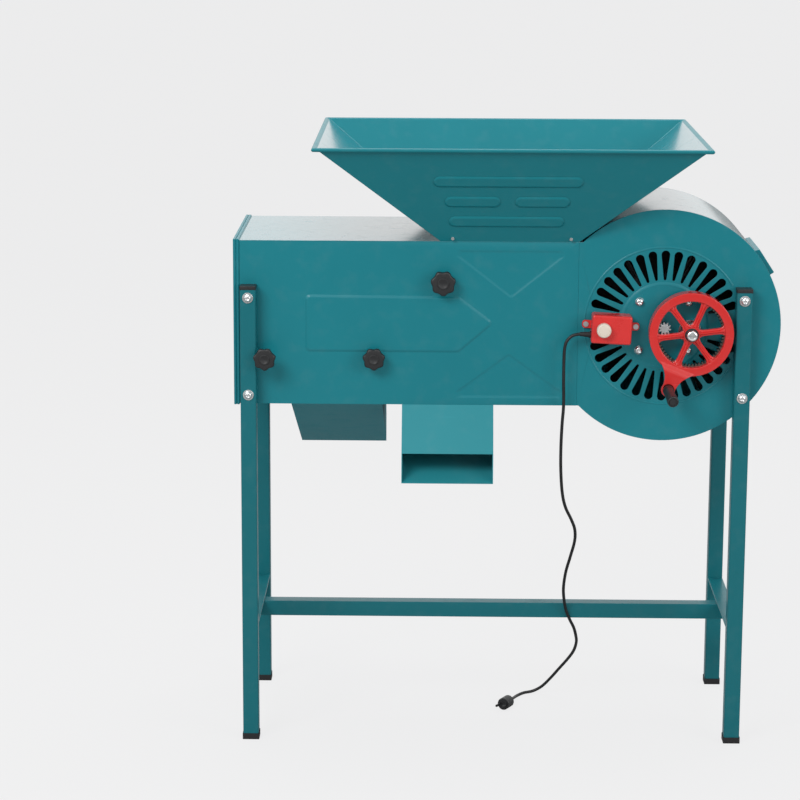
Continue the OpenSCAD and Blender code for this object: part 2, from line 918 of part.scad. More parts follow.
module pinion_outline() {
  base = gear_module * pinion_teeth / 2 * cos(pressure_angle);
  steps = 5;
  radii = [for (k = [0:steps]) base + (pinion_tip - base) * k / steps];
  narrow = -play_angle(pinion_teeth);
  polygon([
    for (i = [0:pinion_teeth - 1])
      let (a = i * 360 / pinion_teeth)
      each concat(
        [polar(pinion_root, a - half_tooth(base, pinion_teeth, narrow) + 1.5)],
        [for (r = radii) polar(r, a - half_tooth(r, pinion_teeth, narrow))],
        [for (k = [steps:-1:0]) polar(radii[k], a + half_tooth(radii[k], pinion_teeth, narrow))],
        [polar(pinion_root, a + half_tooth(base, pinion_teeth, narrow) - 1.5)]
      )
  ]);
}

// The space inside the ring gear, shaped like an outer gear with wide teeth
module ring_space() {
  steps = 2;
  radii = [for (k = [0:steps]) ring_tip + (ring_root - ring_tip) * k / steps];
  wide = play_angle(ring_teeth);
  polygon([
    for (i = [0:ring_teeth - 1])
      let (a = i * 360 / ring_teeth)
      each concat(
        [for (r = radii) polar(r, a - half_tooth(r, ring_teeth, wide))],
        [for (k = [steps:-1:0]) polar(radii[k], a + half_tooth(radii[k], ring_teeth, wide))]
      )
  ]);
}

module at_crank() {
  translate([crank_x, 0, crank_z]) children();
}

module ring_gear() {
  color(zinc) at_origin() at_crank() along_y(-gear_front, gear_front - wheel_back)
    difference() {
      circle(ring_outer);
      rotate(mesh_angle) ring_space();
    }
}

module fan_pinion() {
  color(zinc) at_origin() translate([drum_x, 0, drum_z])
    along_y(-gear_front, gear_front - wheel_back + 2)
      difference() {
        rotate(mesh_angle) pinion_outline();
        circle(shaft_r - 1);
      }
}

spoke_count = 6;
spoke_start = 7;
spoke_half = 7;
hub_r = 18;

// One window between two spokes, with rounded corners
module wheel_window() {
  half = 180 / spoke_count;
  edge = half - asin(spoke_half / wheel_open_r);
  near = hub_r + 5 + spoke_half / sin(half) * 0.45;
  polygon(rounded([
    polar(near, 0), polar(wheel_open_r, -edge), polar(wheel_open_r + 0.4, -edge / 2),
    polar(wheel_open_r + 0.6, 0), polar(wheel_open_r + 0.4, edge / 2), polar(wheel_open_r, edge)
  ], 3.5, 3));
}

// The arm narrows from the rim to the grip's boss in two hollow curves
arm_root = 66;
arm_boss = 13;

module arm_outline() {
  steps = 10;
  function half_width(t) = arm_boss - 0.5 + 27 * pow(1 - t, 2.4);
  upper = [for (k = [0:steps]) [arm_root + (crank_throw - arm_root) * k / steps, half_width(k / steps)]];
  lower = [for (k = [steps:-1:0]) [upper[k][0], -upper[k][1]]];
  polygon(concat(lower, upper));
  translate([crank_throw, 0]) circle(arm_boss);
}

grip_bolt_r = 4;

module crank_wheel() {
  color(red) at_origin() at_crank()
    difference() {
      union() {
        difference() {
          union() {
            rod(0, 0, -wheel_front, wheel_front - wheel_back, wheel_r);
            along_y(-arm_front, arm_front - arm_back) rotate(crank_angle) arm_outline();
          }
          rod(0, 0, -wheel_front - 1, wheel_front - spoke_front + 1, wheel_open_r);
          along_y(-wheel_front, wheel_front - spoke_back + 5)
            for (k = [0:spoke_count - 1])
              rotate(spoke_start + (k + 0.5) * 360 / spoke_count) wheel_window();
          rod(0, 0, -spoke_back, spoke_back, ring_outer);
        }
        rod(0, 0, -hub_front, hub_front - wheel_back, hub_r);
        for (k = [0:spoke_count - 1])
          rotate([0, -spoke_start - k * 360 / spoke_count, 0])
            block([hub_r - 2, -rib_front, -2.5], [wheel_open_r + 3, -spoke_front + 1, 2.5]);
      }
      rod(0, 0, -hub_front - 1, hub_front, stud_r + run_gap);
      translate([crank_throw * cos(crank_angle), 0, crank_throw * sin(crank_angle)])
        rod(0, 0, -arm_front - 1, arm_front, grip_bolt_r);
    }
}

module crank_stud() {
  color(steel) at_origin() at_crank() {
    rod(0, 0, -stud_base, stud_base - plate_face, 22);
    rod(0, 0, -wheel_back + 0.3, wheel_back - 0.3 - stud_base, 13);
    rod(0, 0, -stud_end, stud_end - wheel_back + 0.3, stud_r);
  }
}

module crank_nut() {
  color(zinc) at_origin() at_crank()
    difference() {
      union() {
        rod(0, 0, -hub_front - 2, 1.7, 13);
        translate([0, -hub_front - 2, 0]) rotate([90, 0, 0]) cylinder(r = 11, h = 10, $fn = 6);
      }
      rod(0, 0, -hub_front - 20, 30, stud_r);
    }
}

grip_head_r = 6.5;
grip_head = 5;

module at_grip() {
  at_crank() translate([crank_throw * cos(crank_angle), 0, crank_throw * sin(crank_angle)]) children();
}

module grip_bolt() {
  color(zinc) at_origin() at_grip() {
    rod(0, 0, -grip_front + 2, grip_front - 2 - arm_back, grip_bolt_r);
    rod(0, 0, -grip_front + 1, grip_head, grip_head_r);
  }
}

// The grip is a waisted sleeve, drawn as a half profile of [radius, distance from its back end]
module crank_grip() {
  bore = grip_bolt_r + run_gap;
  well = grip_head_r + 0.3;
  color(black) at_origin() at_grip()
    translate([0, -grip_back, 0]) rotate([90, 0, 0]) rotate_extrude()
      polygon([
        [bore, 0], [grip_r - 2, 0], [grip_r, 3], [grip_r, 12], [grip_r - 1.2, 24],
        [grip_r - 0.6, grip_length * 0.5], [grip_r, grip_length - 22], [grip_r, grip_length - 4],
        [grip_r - 2, grip_length], [well, grip_length], [well, grip_length - grip_head - 1.3],
        [bore, grip_length - grip_head - 1.3]
      ]);
}

// Fan

fan_back = box_depth - 18;
fan_front = motor_end + 8;
spider_hub_r = 20;
spider_hub = 30;
arm_wide = 20;
arm_thick = 5;
blade_thick = 2;
blade_root = 84;
shaft_back = box_depth + plate_face + bearing_boss + 6;

module fan_shaft() {
  color(steel) at_origin() {
    rod(drum_x, drum_z, -wheel_back + 2, wheel_back - 2 + shaft_back, shaft_r);
    rod(drum_x, drum_z, -gear_front - 1, gear_front + 3 - wheel_back, shaft_r - 1);
  }
}

module fan_spiders() {
  color(steel) at_origin() translate([drum_x, 0, drum_z])
    for (y = [fan_front + 10, fan_back - 10 - spider_hub])
      difference() {
        union() {
          rod(0, 0, y, spider_hub, spider_hub_r);
          for (k = [0:blade_count - 1])
            rotate([0, k * 360 / blade_count, 0])
              block([spider_hub_r - 6, y + 5, blade_thick / 2],
                    [blade_tip - 12, y + 5 + arm_wide, blade_thick / 2 + arm_thick]);
        }
        rod(0, 0, y - 1, spider_hub + 2, shaft_r);
      }
}

module fan_blades() {
  color(steel) at_origin() translate([drum_x, 0, drum_z])
    for (k = [0:blade_count - 1])
      rotate([0, k * 360 / blade_count, 0])
        block([blade_root, fan_front, -blade_thick / 2], [blade_tip, fan_back, blade_thick / 2]);
}

// Flaps

// A flap plate welded to its shaft. The shaft runs through both panels, out to its knob in front and
// to a collar behind.
module flap(x, z, length, angle, stand) {
  front = -stand - knob_sink;
  plate_gap = sheet + 2.5;
  translate([x, 0, z]) {
    rod(0, 0, front, box_depth + 8 - front, flap_shaft_r);
    rod(0, 0, box_depth + 0.4, 6, flap_shaft_r + 3.5);
    rotate([0, -angle, 0])
      block([0, plate_gap, -1], [length, box_depth - plate_gap, 1]);
  }
}

// A seven-lobed knob drawn round y, from its back at the stand distance
lobes = 7;

module star_knob(x, z, r, stand) {
  middle = r * 0.87;
  lobe = r * 0.13;
  translate([x, 0, z])
    difference() {
      union() {
        along_y(-stand - knob_depth, knob_depth - 4)
          polygon([for (a = [0:360 / (lobes * 10):359.9]) polar(middle + lobe * cos(lobes * a), a + 13)]);
        rod(0, 0, -stand - 5, 5, r * 0.5);
        rod(0, 0, -stand - knob_depth - 1.5, 3, r * 0.36);
      }
      rod(0, 0, -stand - knob_sink, knob_sink + 1, flap_shaft_r);
      rod(0, 0, -stand - knob_depth - 3, 2.5, r * 0.24);
    }
}

module feed_gate() {
  color(steel) at_origin() flap(feed_x, feed_z, feed_flap, feed_rest, knob_stand);
}

module feed_gate_knob() {
  color(black) at_origin() star_knob(feed_x, feed_z, feed_knob_r, knob_stand);
}

module divider_flap() {
  color(steel) at_origin() flap(divider_x, divider_z, divider_flap_length, 90, knob_stand);
}

module divider_knob() {
  color(black) at_origin() star_knob(divider_x, divider_z, knob_r, knob_stand);
}

module tail_flap() {
  color(steel) at_origin() flap(tail_x, tail_z, tail_flap_length, 90, tail_knob_stand);
}

module tail_knob() {
  color(black) at_origin() star_knob(tail_x, tail_z, knob_r, tail_knob_stand);
}

// Switch box and cord

module at_switch() {
  translate([switch_x, -switch_stand, switch_z]) rotate([0, switch_tilt, 0]) children();
}

dial_spindle_r = 3;
dial_gap = 1.5;
switch_wall = 2.5;

module switch_box() {
  half_l = switch_length / 2;
  half_h = switch_height / 2;
  color(red) at_origin() at_switch()
    difference() {
      union() {
        block([-half_l, -switch_depth, -half_h], [half_l, 0, half_h]);
        block([-ear_reach - 6, -2.5, ear_z - 9], [ear_reach + 6, 0, ear_z + 9]);
      }
      block([-half_l + switch_wall, -switch_depth + switch_wall, -half_h + switch_wall],
            [half_l - switch_wall, 1, half_h - switch_wall]);
      rod(dial_x, dial_z, -switch_depth - 1, switch_wall + 2, dial_spindle_r + run_gap);
      for (x = [-ear_reach, ear_reach]) rod(x, ear_z, -5, 10, 2.2);
      translate([-half_l - 1, -relief_out, relief_z]) rotate([0, 90, 0])
        cylinder(r = 5, h = switch_wall + 2);
    }
}

// The right-hand ear lies over the pressed disc, so its spacer is only as thick as what is left
module switch_screws() {
  color(zinc) at_origin() at_switch()
    for (ear = [[-ear_reach, switch_stand], [ear_reach, switch_stand - plate_face]]) {
      rod(ear[0], ear_z, -5.5, 3, 5);
      rod(ear[0], ear_z, -2.5, 2.5, 2.2);
      rod(ear[0], ear_z, 0, ear[1], 4);
    }
}

module speed_knob() {
  color("#f0e6d6") at_origin() at_switch() {
    rod(dial_x, dial_z, -switch_depth - dial_gap - 13, 13, dial_r);
    rod(dial_x, dial_z, -switch_depth - dial_gap, dial_gap + switch_wall + 4, dial_spindle_r);
    rod(dial_x, dial_z, -switch_depth + switch_wall + 1, 3, dial_spindle_r + 3);
  }
}

// A tapered sleeve that holds the cord where it leaves the box
module strain_relief() {
  color(black) at_origin() at_switch()
    translate([-switch_length / 2 + switch_wall, -relief_out, relief_z]) rotate([0, -90, 0])
      rotate_extrude()
        polygon([
          [0, 0], [5, 0], [5, switch_wall], [7, switch_wall], [7, switch_wall + 3],
          [5.2, switch_wall + 5], [cord_d / 2 + 0.9, switch_wall + relief_length], [0, switch_wall + relief_length]
        ]);
}

relief_turn = [cos(switch_tilt), sin(switch_tilt)];
relief_mouth = [
  switch_x - (switch_length / 2 + relief_length) * relief_turn[0] + relief_z * relief_turn[1],
  -switch_stand - relief_out,
  switch_z + (switch_length / 2 + relief_length) * relief_turn[1] + relief_z * relief_turn[0]
];

cord_line = concat([relief_mouth], cord_route);
plug_at = cord_line[len(cord_line) - 1];

// A smooth curve through the route's points
function curve(p, i, t) =
  let (
    n = len(p),
    a = p[max(i - 1, 0)],
    b = p[i],
    c = p[min(i + 1, n - 1)],
    d = p[min(i + 2, n - 1)]
  )
  0.5 * ((2 * b) + (c - a) * t + (2 * a - 5 * b + 4 * c - d) * pow(t, 2) + (3 * b - a - 3 * c + d) * pow(t, 3));

cord_sides = 8;
cord_steps = 2;
cord_rings = (len(cord_line) - 1) * cord_steps;

function cord_point(k) = curve(cord_line, floor(min(k, cord_rings - 0.001) / cord_steps),
                               k == cord_rings ? 1 : (k % cord_steps) / cord_steps);

function cord_way(k) = k == 0
  ? unit([-relief_turn[0], 0, relief_turn[1]])
  : k == cord_rings
  ? [cos(plug_turn), sin(plug_turn), 0]
  : unit(cord_point(k + 1) - cord_point(k - 1));

module cord() {
  centres = [for (k = [0:cord_rings]) k == cord_rings ? cord_line[len(cord_line) - 1] : cord_point(k)];
  rings = [
    for (k = [0:cord_rings])
      let (
        way = cord_way(k),
        side = unit(cross(way, [1, -1, 0.2])),
        up = cross(side, way)
      )
      for (j = [0:cord_sides - 1])
        centres[k] + cord_d / 2 * (cos(j * 360 / cord_sides) * side + sin(j * 360 / cord_sides) * up)
  ];
  last = cord_rings * cord_sides;
  color(black) at_origin()
    polyhedron(
      points = rings,
      faces = concat(
        [[for (j = [0:cord_sides - 1]) j]],
        [[for (j = [cord_sides - 1:-1:0]) last + j]],
        [
          for (k = [0:cord_rings - 1])
            for (j = [0:cord_sides - 1])
              let (m = (j + 1) % cord_sides, a = k * cord_sides)
              each [[a + j, a + cord_sides + j, a + cord_sides + m], [a + j, a + cord_sides + m, a + m]]
        ]
      )
    );
}

// A round mains plug that lies on the floor
module plug() {
  color(black) at_origin()
    translate(plug_at) rotate(plug_turn) rotate([0, 90, 0]) {
      cylinder(r = cord_d / 2 + 1.5, h = plug_neck);
      translate([0, 0, plug_neck]) cylinder(r = plug_r, h = plug_length);
      for (y = [-6.5, 6.5]) translate([0, y, plug_neck + plug_length]) cylinder(r = 2.4, h = 17);
    }
}

front_panel();
back_panel();
lid_sheet();
floor_sheet();
outlet_rim();
hopper_front();
hopper_back();
hopper_left();
hopper_right();
hopper_rivets();
feed_wall();
feed_floor();
divider_board();
tail_board();
front_chute();
back_chute();
drum_front_plate();
drum_back_plate();
drum_wrap();
drum_hatch();
leg_front_left();
leg_front_right();
leg_back_left();
leg_back_right();
leg_plugs();
leg_feet();
side_rail_left();
side_rail_right();
long_bar();
leg_bolts();
leg_nuts();
rail_bolts();
motor();
motor_bolts();
back_bearing();
bearing_bolts();
crank_stud();
crank_nut();
crank_wheel();
ring_gear();
grip_bolt();
crank_grip();
fan_shaft();
fan_pinion();
fan_spiders();
fan_blades();
feed_gate();
feed_gate_knob();
divider_flap();
divider_knob();
tail_flap();
tail_knob();
switch_box();
switch_screws();
speed_knob();
strain_relief();
cord();
plug();
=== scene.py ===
# %% [markdown]
# Grain winnowing machine: the dressed scene.
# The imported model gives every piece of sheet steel, tube, gear and bolt in its real size. This lesson
# adds what a drawing cannot show: the route of the mains cord, rounded and rolled edges, pressed slopes,
# paint, zinc, rubber and plastic, and a plain studio round it. Blender works in metres, and places on
# the machine are given in millimetres.

# %% Load the frame
import bpy
import bmesh
import json
from math import atan2, cos, pi, radians, sin, tan
from mathutils import Matrix, Vector


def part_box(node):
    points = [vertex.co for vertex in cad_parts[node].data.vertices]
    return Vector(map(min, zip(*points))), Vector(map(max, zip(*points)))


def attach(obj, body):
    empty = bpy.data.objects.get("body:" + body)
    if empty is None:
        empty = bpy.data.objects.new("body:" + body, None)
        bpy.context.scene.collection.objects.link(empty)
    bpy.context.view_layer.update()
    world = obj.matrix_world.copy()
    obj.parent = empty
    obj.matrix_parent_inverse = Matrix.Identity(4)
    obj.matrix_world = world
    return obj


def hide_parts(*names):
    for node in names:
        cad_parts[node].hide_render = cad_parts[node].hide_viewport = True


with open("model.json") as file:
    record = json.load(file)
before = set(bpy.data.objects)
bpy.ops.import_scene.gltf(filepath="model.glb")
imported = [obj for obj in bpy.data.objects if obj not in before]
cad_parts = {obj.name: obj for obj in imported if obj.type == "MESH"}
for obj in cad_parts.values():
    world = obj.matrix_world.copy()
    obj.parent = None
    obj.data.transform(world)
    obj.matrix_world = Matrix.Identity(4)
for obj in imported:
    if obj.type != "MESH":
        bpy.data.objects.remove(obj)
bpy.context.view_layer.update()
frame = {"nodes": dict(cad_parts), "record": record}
nodes = frame["nodes"]
MM = 0.001

# %% [markdown]
# Measurements on the machine are easiest from the box's own corner: x from the outlet end, y from the
# crank-side panel and z from the floor. The lid sheet starts at exactly that corner, so its lowest
# corner turns such a measurement into a place in the scene. Much of the machine is the same in front
# and behind, so a second function measures outwards from either side panel.

# %% Measure from the box's corner
LID_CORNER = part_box("lid_sheet")[0]
BOX_DEPTH = 340
SIDES = (("front", -1), ("back", 1))
DRUM_X, DRUM_Z = 797, 812


def at(x, y, z):
    """A place given in millimetres from the box's corner, as a vector in metres."""
    return Vector((LID_CORNER[0] + x * MM, LID_CORNER[1] + y * MM, z * MM))


def outside(side, out):
    """The y of a place so far outside the front panel (side -1) or the back panel (side 1)."""
    return -out if side < 0 else BOX_DEPTH + out


print("the corner lies at", [round(v, 4) for v in at(0, 0, 0)])

# %% [markdown]
# The camera comes first. The picture is a long-lens product shot from a little above, slightly left of
# the middle. A camera without lens shift was fitted to the legs, the hopper's corners and the drum. Its
# place in millimetres and its three small turns in radians are kept here as plain values.

# %% Place the camera
PICTURE = 800
SENSOR = 36.0
FOCAL_PIXELS = 2616.4
CAMERA_AT = (374.0, -4850.8, 1672.5)
YAW, PITCH, ROLL = 0.0148, -0.2045, -0.0042
SEES_TO = 300

lens = bpy.data.cameras.new("camera")
lens.sensor_width = SENSOR
lens.lens = FOCAL_PIXELS / PICTURE * SENSOR
lens.clip_end = SEES_TO
camera = bpy.data.objects.new("camera", lens)
bpy.context.scene.collection.objects.link(camera)
turn = Matrix.Rotation(YAW, 4, "Z") @ Matrix.Rotation(PITCH, 4, "X") @ Matrix.Rotation(ROLL, 4, "Y")
camera.matrix_world = Matrix.Translation(at(*CAMERA_AT)) @ turn @ Matrix.Rotation(pi / 2, 4, "X")
bpy.context.scene.camera = camera
print("lens", round(lens.lens, 1), "mm")

# %% [markdown]
# The mains cord is one length of 6 mm rubber cable. It leaves the switch box through a strain relief,
# hangs down the panel, leans back in front of the long bar, slopes under it and ends on the floor. A
# smooth curve through a short list of points follows that route and keeps the bends soft.

# %% Route of the cord
CORD_D = 6 * MM
CURVE_STEPS = 6
RELIEF_MOUTH = (638.87, -21.5, 799.45)
CORD_ROUTE = [
    (625, -21.5, 796), (615, -22, 786), (611, -22, 772), (610, -22, 748), (610, -22, 711), (611, -18, 663),
    (609, -12, 623), (608, -4, 578), (609, 6, 531), (613, 18, 484), (620, 29, 453), (632, 41, 426),
    (640, 52, 403), (641, 66, 376), (634, 87, 338), (627, 106, 303), (624, 126, 266), (626, 139, 238),
    (631, 147, 212), (639, 151, 192), (647, 156, 175), (652, 165, 156), (654, 177, 138), (650, 195, 115),
    (640, 215, 92), (624, 236, 65), (607, 254, 38), (590, 267, 16), (572, 270, 5), (553, 262, 3.4),
    (539, 243, 3.4), (531, 217, 7), (525, 192, 12),
]


def smooth_through(points, steps):
    """Points on a smooth curve that passes through every given point."""
    last = len(points) - 1
    line = []
    for i in range(last):
        a, b = points[max(i - 1, 0)], points[i]
        c, d = points[i + 1], points[min(i + 2, last)]
        for k in range(steps):
            t = k / steps
            line.append(0.5 * (2 * b + (c - a) * t + (2 * a - 5 * b + 4 * c - d) * t**2
                               + (3 * b - a - 3 * c + d) * t**3))
    return line + [points[last]]


def length_of(line):
    return sum((b - a).length for a, b in zip(line, line[1:]))


cord_points = [at(*RELIEF_MOUTH)] + [at(*p) for p in CORD_ROUTE]
cord_line = smooth_through(cord_points, CURVE_STEPS)
cord_length = length_of(cord_line)
print("cord length", round(cord_length, 3), "m")

# %% [markdown]
# The cord itself is a curve object with a round section and closed ends. It runs straight from each
# point of the route to the next, and the points lie close enough for it to look smooth.

# %% Make the cord
cord_curve = bpy.data.curves.new("mains_cord", "CURVE")
cord_curve.dimensions = "3D"
cord_curve.bevel_depth = CORD_D / 2
cord_curve.bevel_resolution = 4
cord_curve.use_fill_caps = True
spline = cord_curve.splines.new("POLY")
spline.points.add(len(cord_line) - 1)
for point, place in zip(spline.points, cord_line):
    point.co = (*place, 1)
mains_cord = bpy.data.objects.new("mains_cord", cord_curve)
bpy.context.scene.collection.objects.link(mains_cord)
print("cord of", len(cord_line), "points")

# %% [markdown]
# Shader maths reads best as plain expressions. A small class wraps a socket, so that mask * 0.3 + 0.2
# adds the Math nodes by itself, and one method makes every other kind of node from its type, its
# settings and its inputs.

# %% Shader maths as expressions


class Wire:
    """A number that varies over the surface: a socket with arithmetic."""

    def __init__(self, shader, socket):
        self.shader, self.socket = shader, socket

    def _math(self, operation, a, b):
        return self.shader.node("Math", {"operation": operation}, {0: a, 1: b})[0]

    def __add__(self, other):
        return self._math("ADD", self, other)

    __radd__ = __add__

    def __mul__(self, other):
        return self._math("MULTIPLY", self, other)

    __rmul__ = __mul__


class Finish:
    """A material under construction, with its Principled shader at hand."""

    def __init__(self, name):
        self.material = bpy.data.materials.new(name)
        self.material.use_nodes = True
        self.tree = self.material.node_tree
        self.surface = self.tree.nodes["Principled BSDF"]
        self.place = self.node("TexCoord", {}, {})["Object"]

    def node(self, kind, settings, inputs):
        """Adds a node and gives its outputs, both by name and by number."""
        made = self.tree.nodes.new("ShaderNode" + kind)
        for name, value in settings.items():
            setattr(made, name, value)
        for key, value in inputs.items():
            self.feed(made.inputs[key], value)
        return {**{o.name: Wire(self, o) for o in made.outputs},
                **{i: Wire(self, o) for i, o in enumerate(made.outputs)}}

    def feed(self, socket, value):
        if isinstance(value, Wire):
            self.tree.links.new(value.socket, socket)
        else:
            socket.default_value = value

    def set(self, **inputs):
        """Feeds the Principled shader: Base_Color=... goes into its socket Base Color."""
        for name, value in inputs.items():
            self.feed(self.surface.inputs[name.replace("_", " ")], value)

    def noise(self, scale, detail=2.0, stretch=(1, 1, 1)):
        place = self.node("Mapping", {}, {"Vector": self.place, "Scale": stretch})[0]
        return self.node("TexNoise", {}, {"Vector": place, "Scale": scale, "Detail": detail})[0]

    def band(self, value, low, high):
        """0 below low, 1 above high, with a straight ramp between."""
        return self.node("MapRange", {"clamp": True}, {0: value, 1: low, 2: high})[0]

    def mixed(self, mask, a, b):
        """The colour a where the mask is 0 and b where it is 1."""
        return self.node("Mix", {"data_type": "RGBA"}, {0: mask, 6: a, 7: b})[2]

    def bumped(self, height, depth_mm):
        bump = self.node("Bump", {}, {"Height": height, "Distance": depth_mm * MM})
        self.set(Normal=bump["Normal"])


def srgb(red, green, blue):
    """A colour as it is read off a screen, 0 to 255, as the linear numbers that a shader takes."""
    def linear(c):
        c = c / 255
        return c / 12.92 if c <= 0.04045 else ((c + 0.055) / 1.055) ** 2.4
    return (linear(red), linear(green), linear(blue), 1.0)


def shaded(colour, factor):
    return (*[min(1, c * factor) for c in colour[:3]], 1.0)


print("shader tools ready")

# %% [markdown]
# The sheet steel is powder coated: a tough, evenly glossy skin with a faint orange-peel ripple, a
# little dust that dulls it in clouds, and hairline rubs where sheets were handled. The ripple is a
# fine noise as bump, the dust changes colour and roughness, and a thin coat gives the clear top gloss.

# %% Powder coat
TEAL = srgb(24, 131, 143)
LEG_TEAL = srgb(18, 113, 123)
HOPPER_TEAL = srgb(16, 126, 137)
# The front chute's cover gets the body's teal made lighter: a painted highlight for a cover that leans out
# towards the light.
COVER_TEAL_PAINTED_HIGHLIGHT = srgb(46, 148, 159)
RED = srgb(226, 40, 38)
DUST = srgb(176, 182, 176)


def powder_coat(name, colour, roughness=0.30, coat=0.08, gloss=0.3):
    f = Finish(name)
    clouds = f.noise(scale=4.0, detail=4.0)
    dust = f.band(f.noise(scale=38.0, detail=6.0), low=0.52, high=0.80)
    rubs = f.band(f.noise(scale=22.0, detail=8.0, stretch=(1.0, 1.0, 14.0)), low=0.66, high=0.72)
    base = f.mixed(f.band(clouds, low=0.35, high=0.7), shaded(colour, 0.98), shaded(colour, 1.03))
    dusty = f.mixed(dust * 0.03, base, DUST)
    f.set(Base_Color=f.mixed(rubs * 0.10, dusty, shaded(colour, 1.35)))
    f.set(Roughness=clouds * 0.06 + dust * 0.10 + rubs * 0.08 + (roughness - 0.03))
    f.set(Coat_Weight=coat, Coat_Roughness=0.12, Specular_IOR_Level=gloss)
    orange_peel, waves = f.noise(scale=950.0, detail=1.0), f.noise(scale=14.0, detail=2.0)
    f.bumped(orange_peel * 0.5 + waves * 1.5, depth_mm=0.12)
    return f.material


teal_paint = powder_coat("teal_powder_coat", TEAL)
hopper_paint = powder_coat("hopper_powder_coat", HOPPER_TEAL)
lid_paint = powder_coat("lid_powder_coat", TEAL, roughness=0.22, coat=1.0, gloss=0.5)
leg_paint = powder_coat("leg_powder_coat", LEG_TEAL, roughness=0.32)
chute_paint = powder_coat("chute_powder_coat", TEAL, roughness=0.5, coat=0.0, gloss=0.1)
# A lighter copy of the teal for the front chute's cover, as a painted highlight.
cover_painted_highlight = powder_coat("cover_coat_painted_highlight", COVER_TEAL_PAINTED_HIGHLIGHT)
red_paint = powder_coat("red_enamel", RED, roughness=0.24, coat=0.5, gloss=0.5)
print("seven painted finishes")

# %% [markdown]
# Bolts, nuts and gears are zinc plated, which is greyer and softer than chrome and breaks up into
# small cloudy spangles. The flaps and the bearing are bare steel with fine lines along the way it was
# drawn, the ring gear is greased, and the fan's spiders and blades are dull sheet. All are full metals
# whose roughness wanders.

# %% Metals
EVEN = (1, 1, 1)
DRAWN = (1, 12, 1)


def metal(name, colour, roughness, lines=EVEN, stain=0.25):
    f = Finish(name)
    spangle = f.noise(scale=160.0, detail=5.0, stretch=lines)
    stains = f.band(f.noise(scale=18.0, detail=6.0), low=0.5, high=0.85)
    clean = f.mixed(spangle, shaded(colour, 0.9), colour)
    f.set(Metallic=1.0, Base_Color=f.mixed(stains * stain, clean, shaded(colour, 0.55)))
    f.set(Roughness=spangle * 0.16 + stains * 0.12 + (roughness - 0.08))
    f.bumped(spangle, depth_mm=0.05)
    return f.material


zinc_plate = metal("zinc_plate", srgb(208, 212, 214), roughness=0.30)
bright_zinc = metal("bright_zinc", srgb(232, 235, 236), roughness=0.2, stain=0.1)
bare_steel = metal("bare_steel", srgb(178, 180, 182), roughness=0.34, lines=DRAWN, stain=0.4)
greased_steel = metal("greased_steel", srgb(112, 110, 104), roughness=0.42, stain=0.7)
dull_sheet = metal("dull_sheet", srgb(84, 86, 88), roughness=0.55, stain=0.6)
print("five metals")

# %% [markdown]
# The knobs, grip and plugs are moulded black plastic with a fine spark-eroded grain, the feet and the
# cord are rubber, and the switch box and its dial are glossy mouldings. They differ in how tight the
# grain is, how deep it is in millimetres and how far the gloss spreads.

# %% Plastics and rubber


def moulded(name, colour, roughness, grain, grain_depth, coat=0.0):
    f = Finish(name)
    speck = f.noise(scale=grain, detail=3.0)
    handled = f.band(f.noise(scale=30.0, detail=4.0), low=0.45, high=0.75)
    f.set(Base_Color=f.mixed(handled * 0.35, colour, shaded(colour, 1.3)))
    f.set(Roughness=handled * 0.10 + speck * 0.06 + (roughness - 0.06))
    f.set(Coat_Weight=coat, Coat_Roughness=0.08)
    f.bumped(speck, grain_depth)
    return f.material


black_plastic = moulded("grained_black_plastic", srgb(34, 35, 37), 0.42, grain=900.0, grain_depth=0.10)
black_metal = moulded("black_stove_paint", srgb(30, 31, 33), 0.5, grain=500.0, grain_depth=0.06)
rubber = moulded("black_rubber", srgb(26, 26, 28), 0.6, grain=700.0, grain_depth=0.08)
cord_rubber = moulded("cord_rubber", srgb(20, 20, 22), 0.46, grain=400.0, grain_depth=0.04)
red_plastic = moulded("red_moulding", srgb(228, 50, 48), 0.30, grain=600.0, grain_depth=0.04, coat=0.3)
cream_plastic = moulded("cream_moulding", srgb(240, 228, 212), 0.32, grain=600.0, grain_depth=0.03, coat=0.3)
print("six mouldings")

# %% [markdown]
# Each carried-over piece takes the finish of its own slot in the record. Sheet, tube and mouldings
# never have knife edges either, so a Bevel modifier rounds them. The imported faces are first welded
# into one skin, and weighted normals keep the flats flat.

# %% Dress the carried-over pieces
FINISH = {
    "teal_paint": teal_paint, "leg_paint": leg_paint, "red_paint": red_paint, "red_plastic": red_plastic,
    "zinc": zinc_plate, "steel": bare_steel, "black_plastic": black_plastic, "black_metal": black_metal,
    "cream_plastic": cream_plastic, "rubber": rubber,
}
EDGE_MM = {
    "teal_paint": 0.5, "leg_paint": 2.2, "red_paint": 1.1, "red_plastic": 2.0, "zinc": 0.35,
    "steel": 0.4, "black_plastic": 1.2, "black_metal": 0.8, "cream_plastic": 0.9, "rubber": 0.6,
}
OWN_FINISH = {
    "grip_bolt": black_plastic, "ring_gear": greased_steel, "fan_pinion": bright_zinc,
    "fan_shaft": bright_zinc, "hopper_rivets": bright_zinc, "fan_spiders": dull_sheet,
    "fan_blades": dull_sheet, "lid_sheet": lid_paint, "drum_wrap": lid_paint, "back_chute": chute_paint,
    "front_chute": cover_painted_highlight,
}
OWN_EDGE_MM = {
    "ring_gear": 0.12, "fan_pinion": 0.12, "long_bar": 1.4, "side_rail_left": 0.9, "side_rail_right": 0.9,
    "outlet_rim": 0.9, "strain_relief": 0.4, "leg_feet": 2.4, "leg_plugs": 2.0,
}
WELD_WITHIN = 0.01
ROUND_ABOVE = radians(32)


def wear(piece, material):
    if not piece.data.materials:
        piece.data.materials.append(material)
    for slot in piece.material_slots:
        slot.material = material


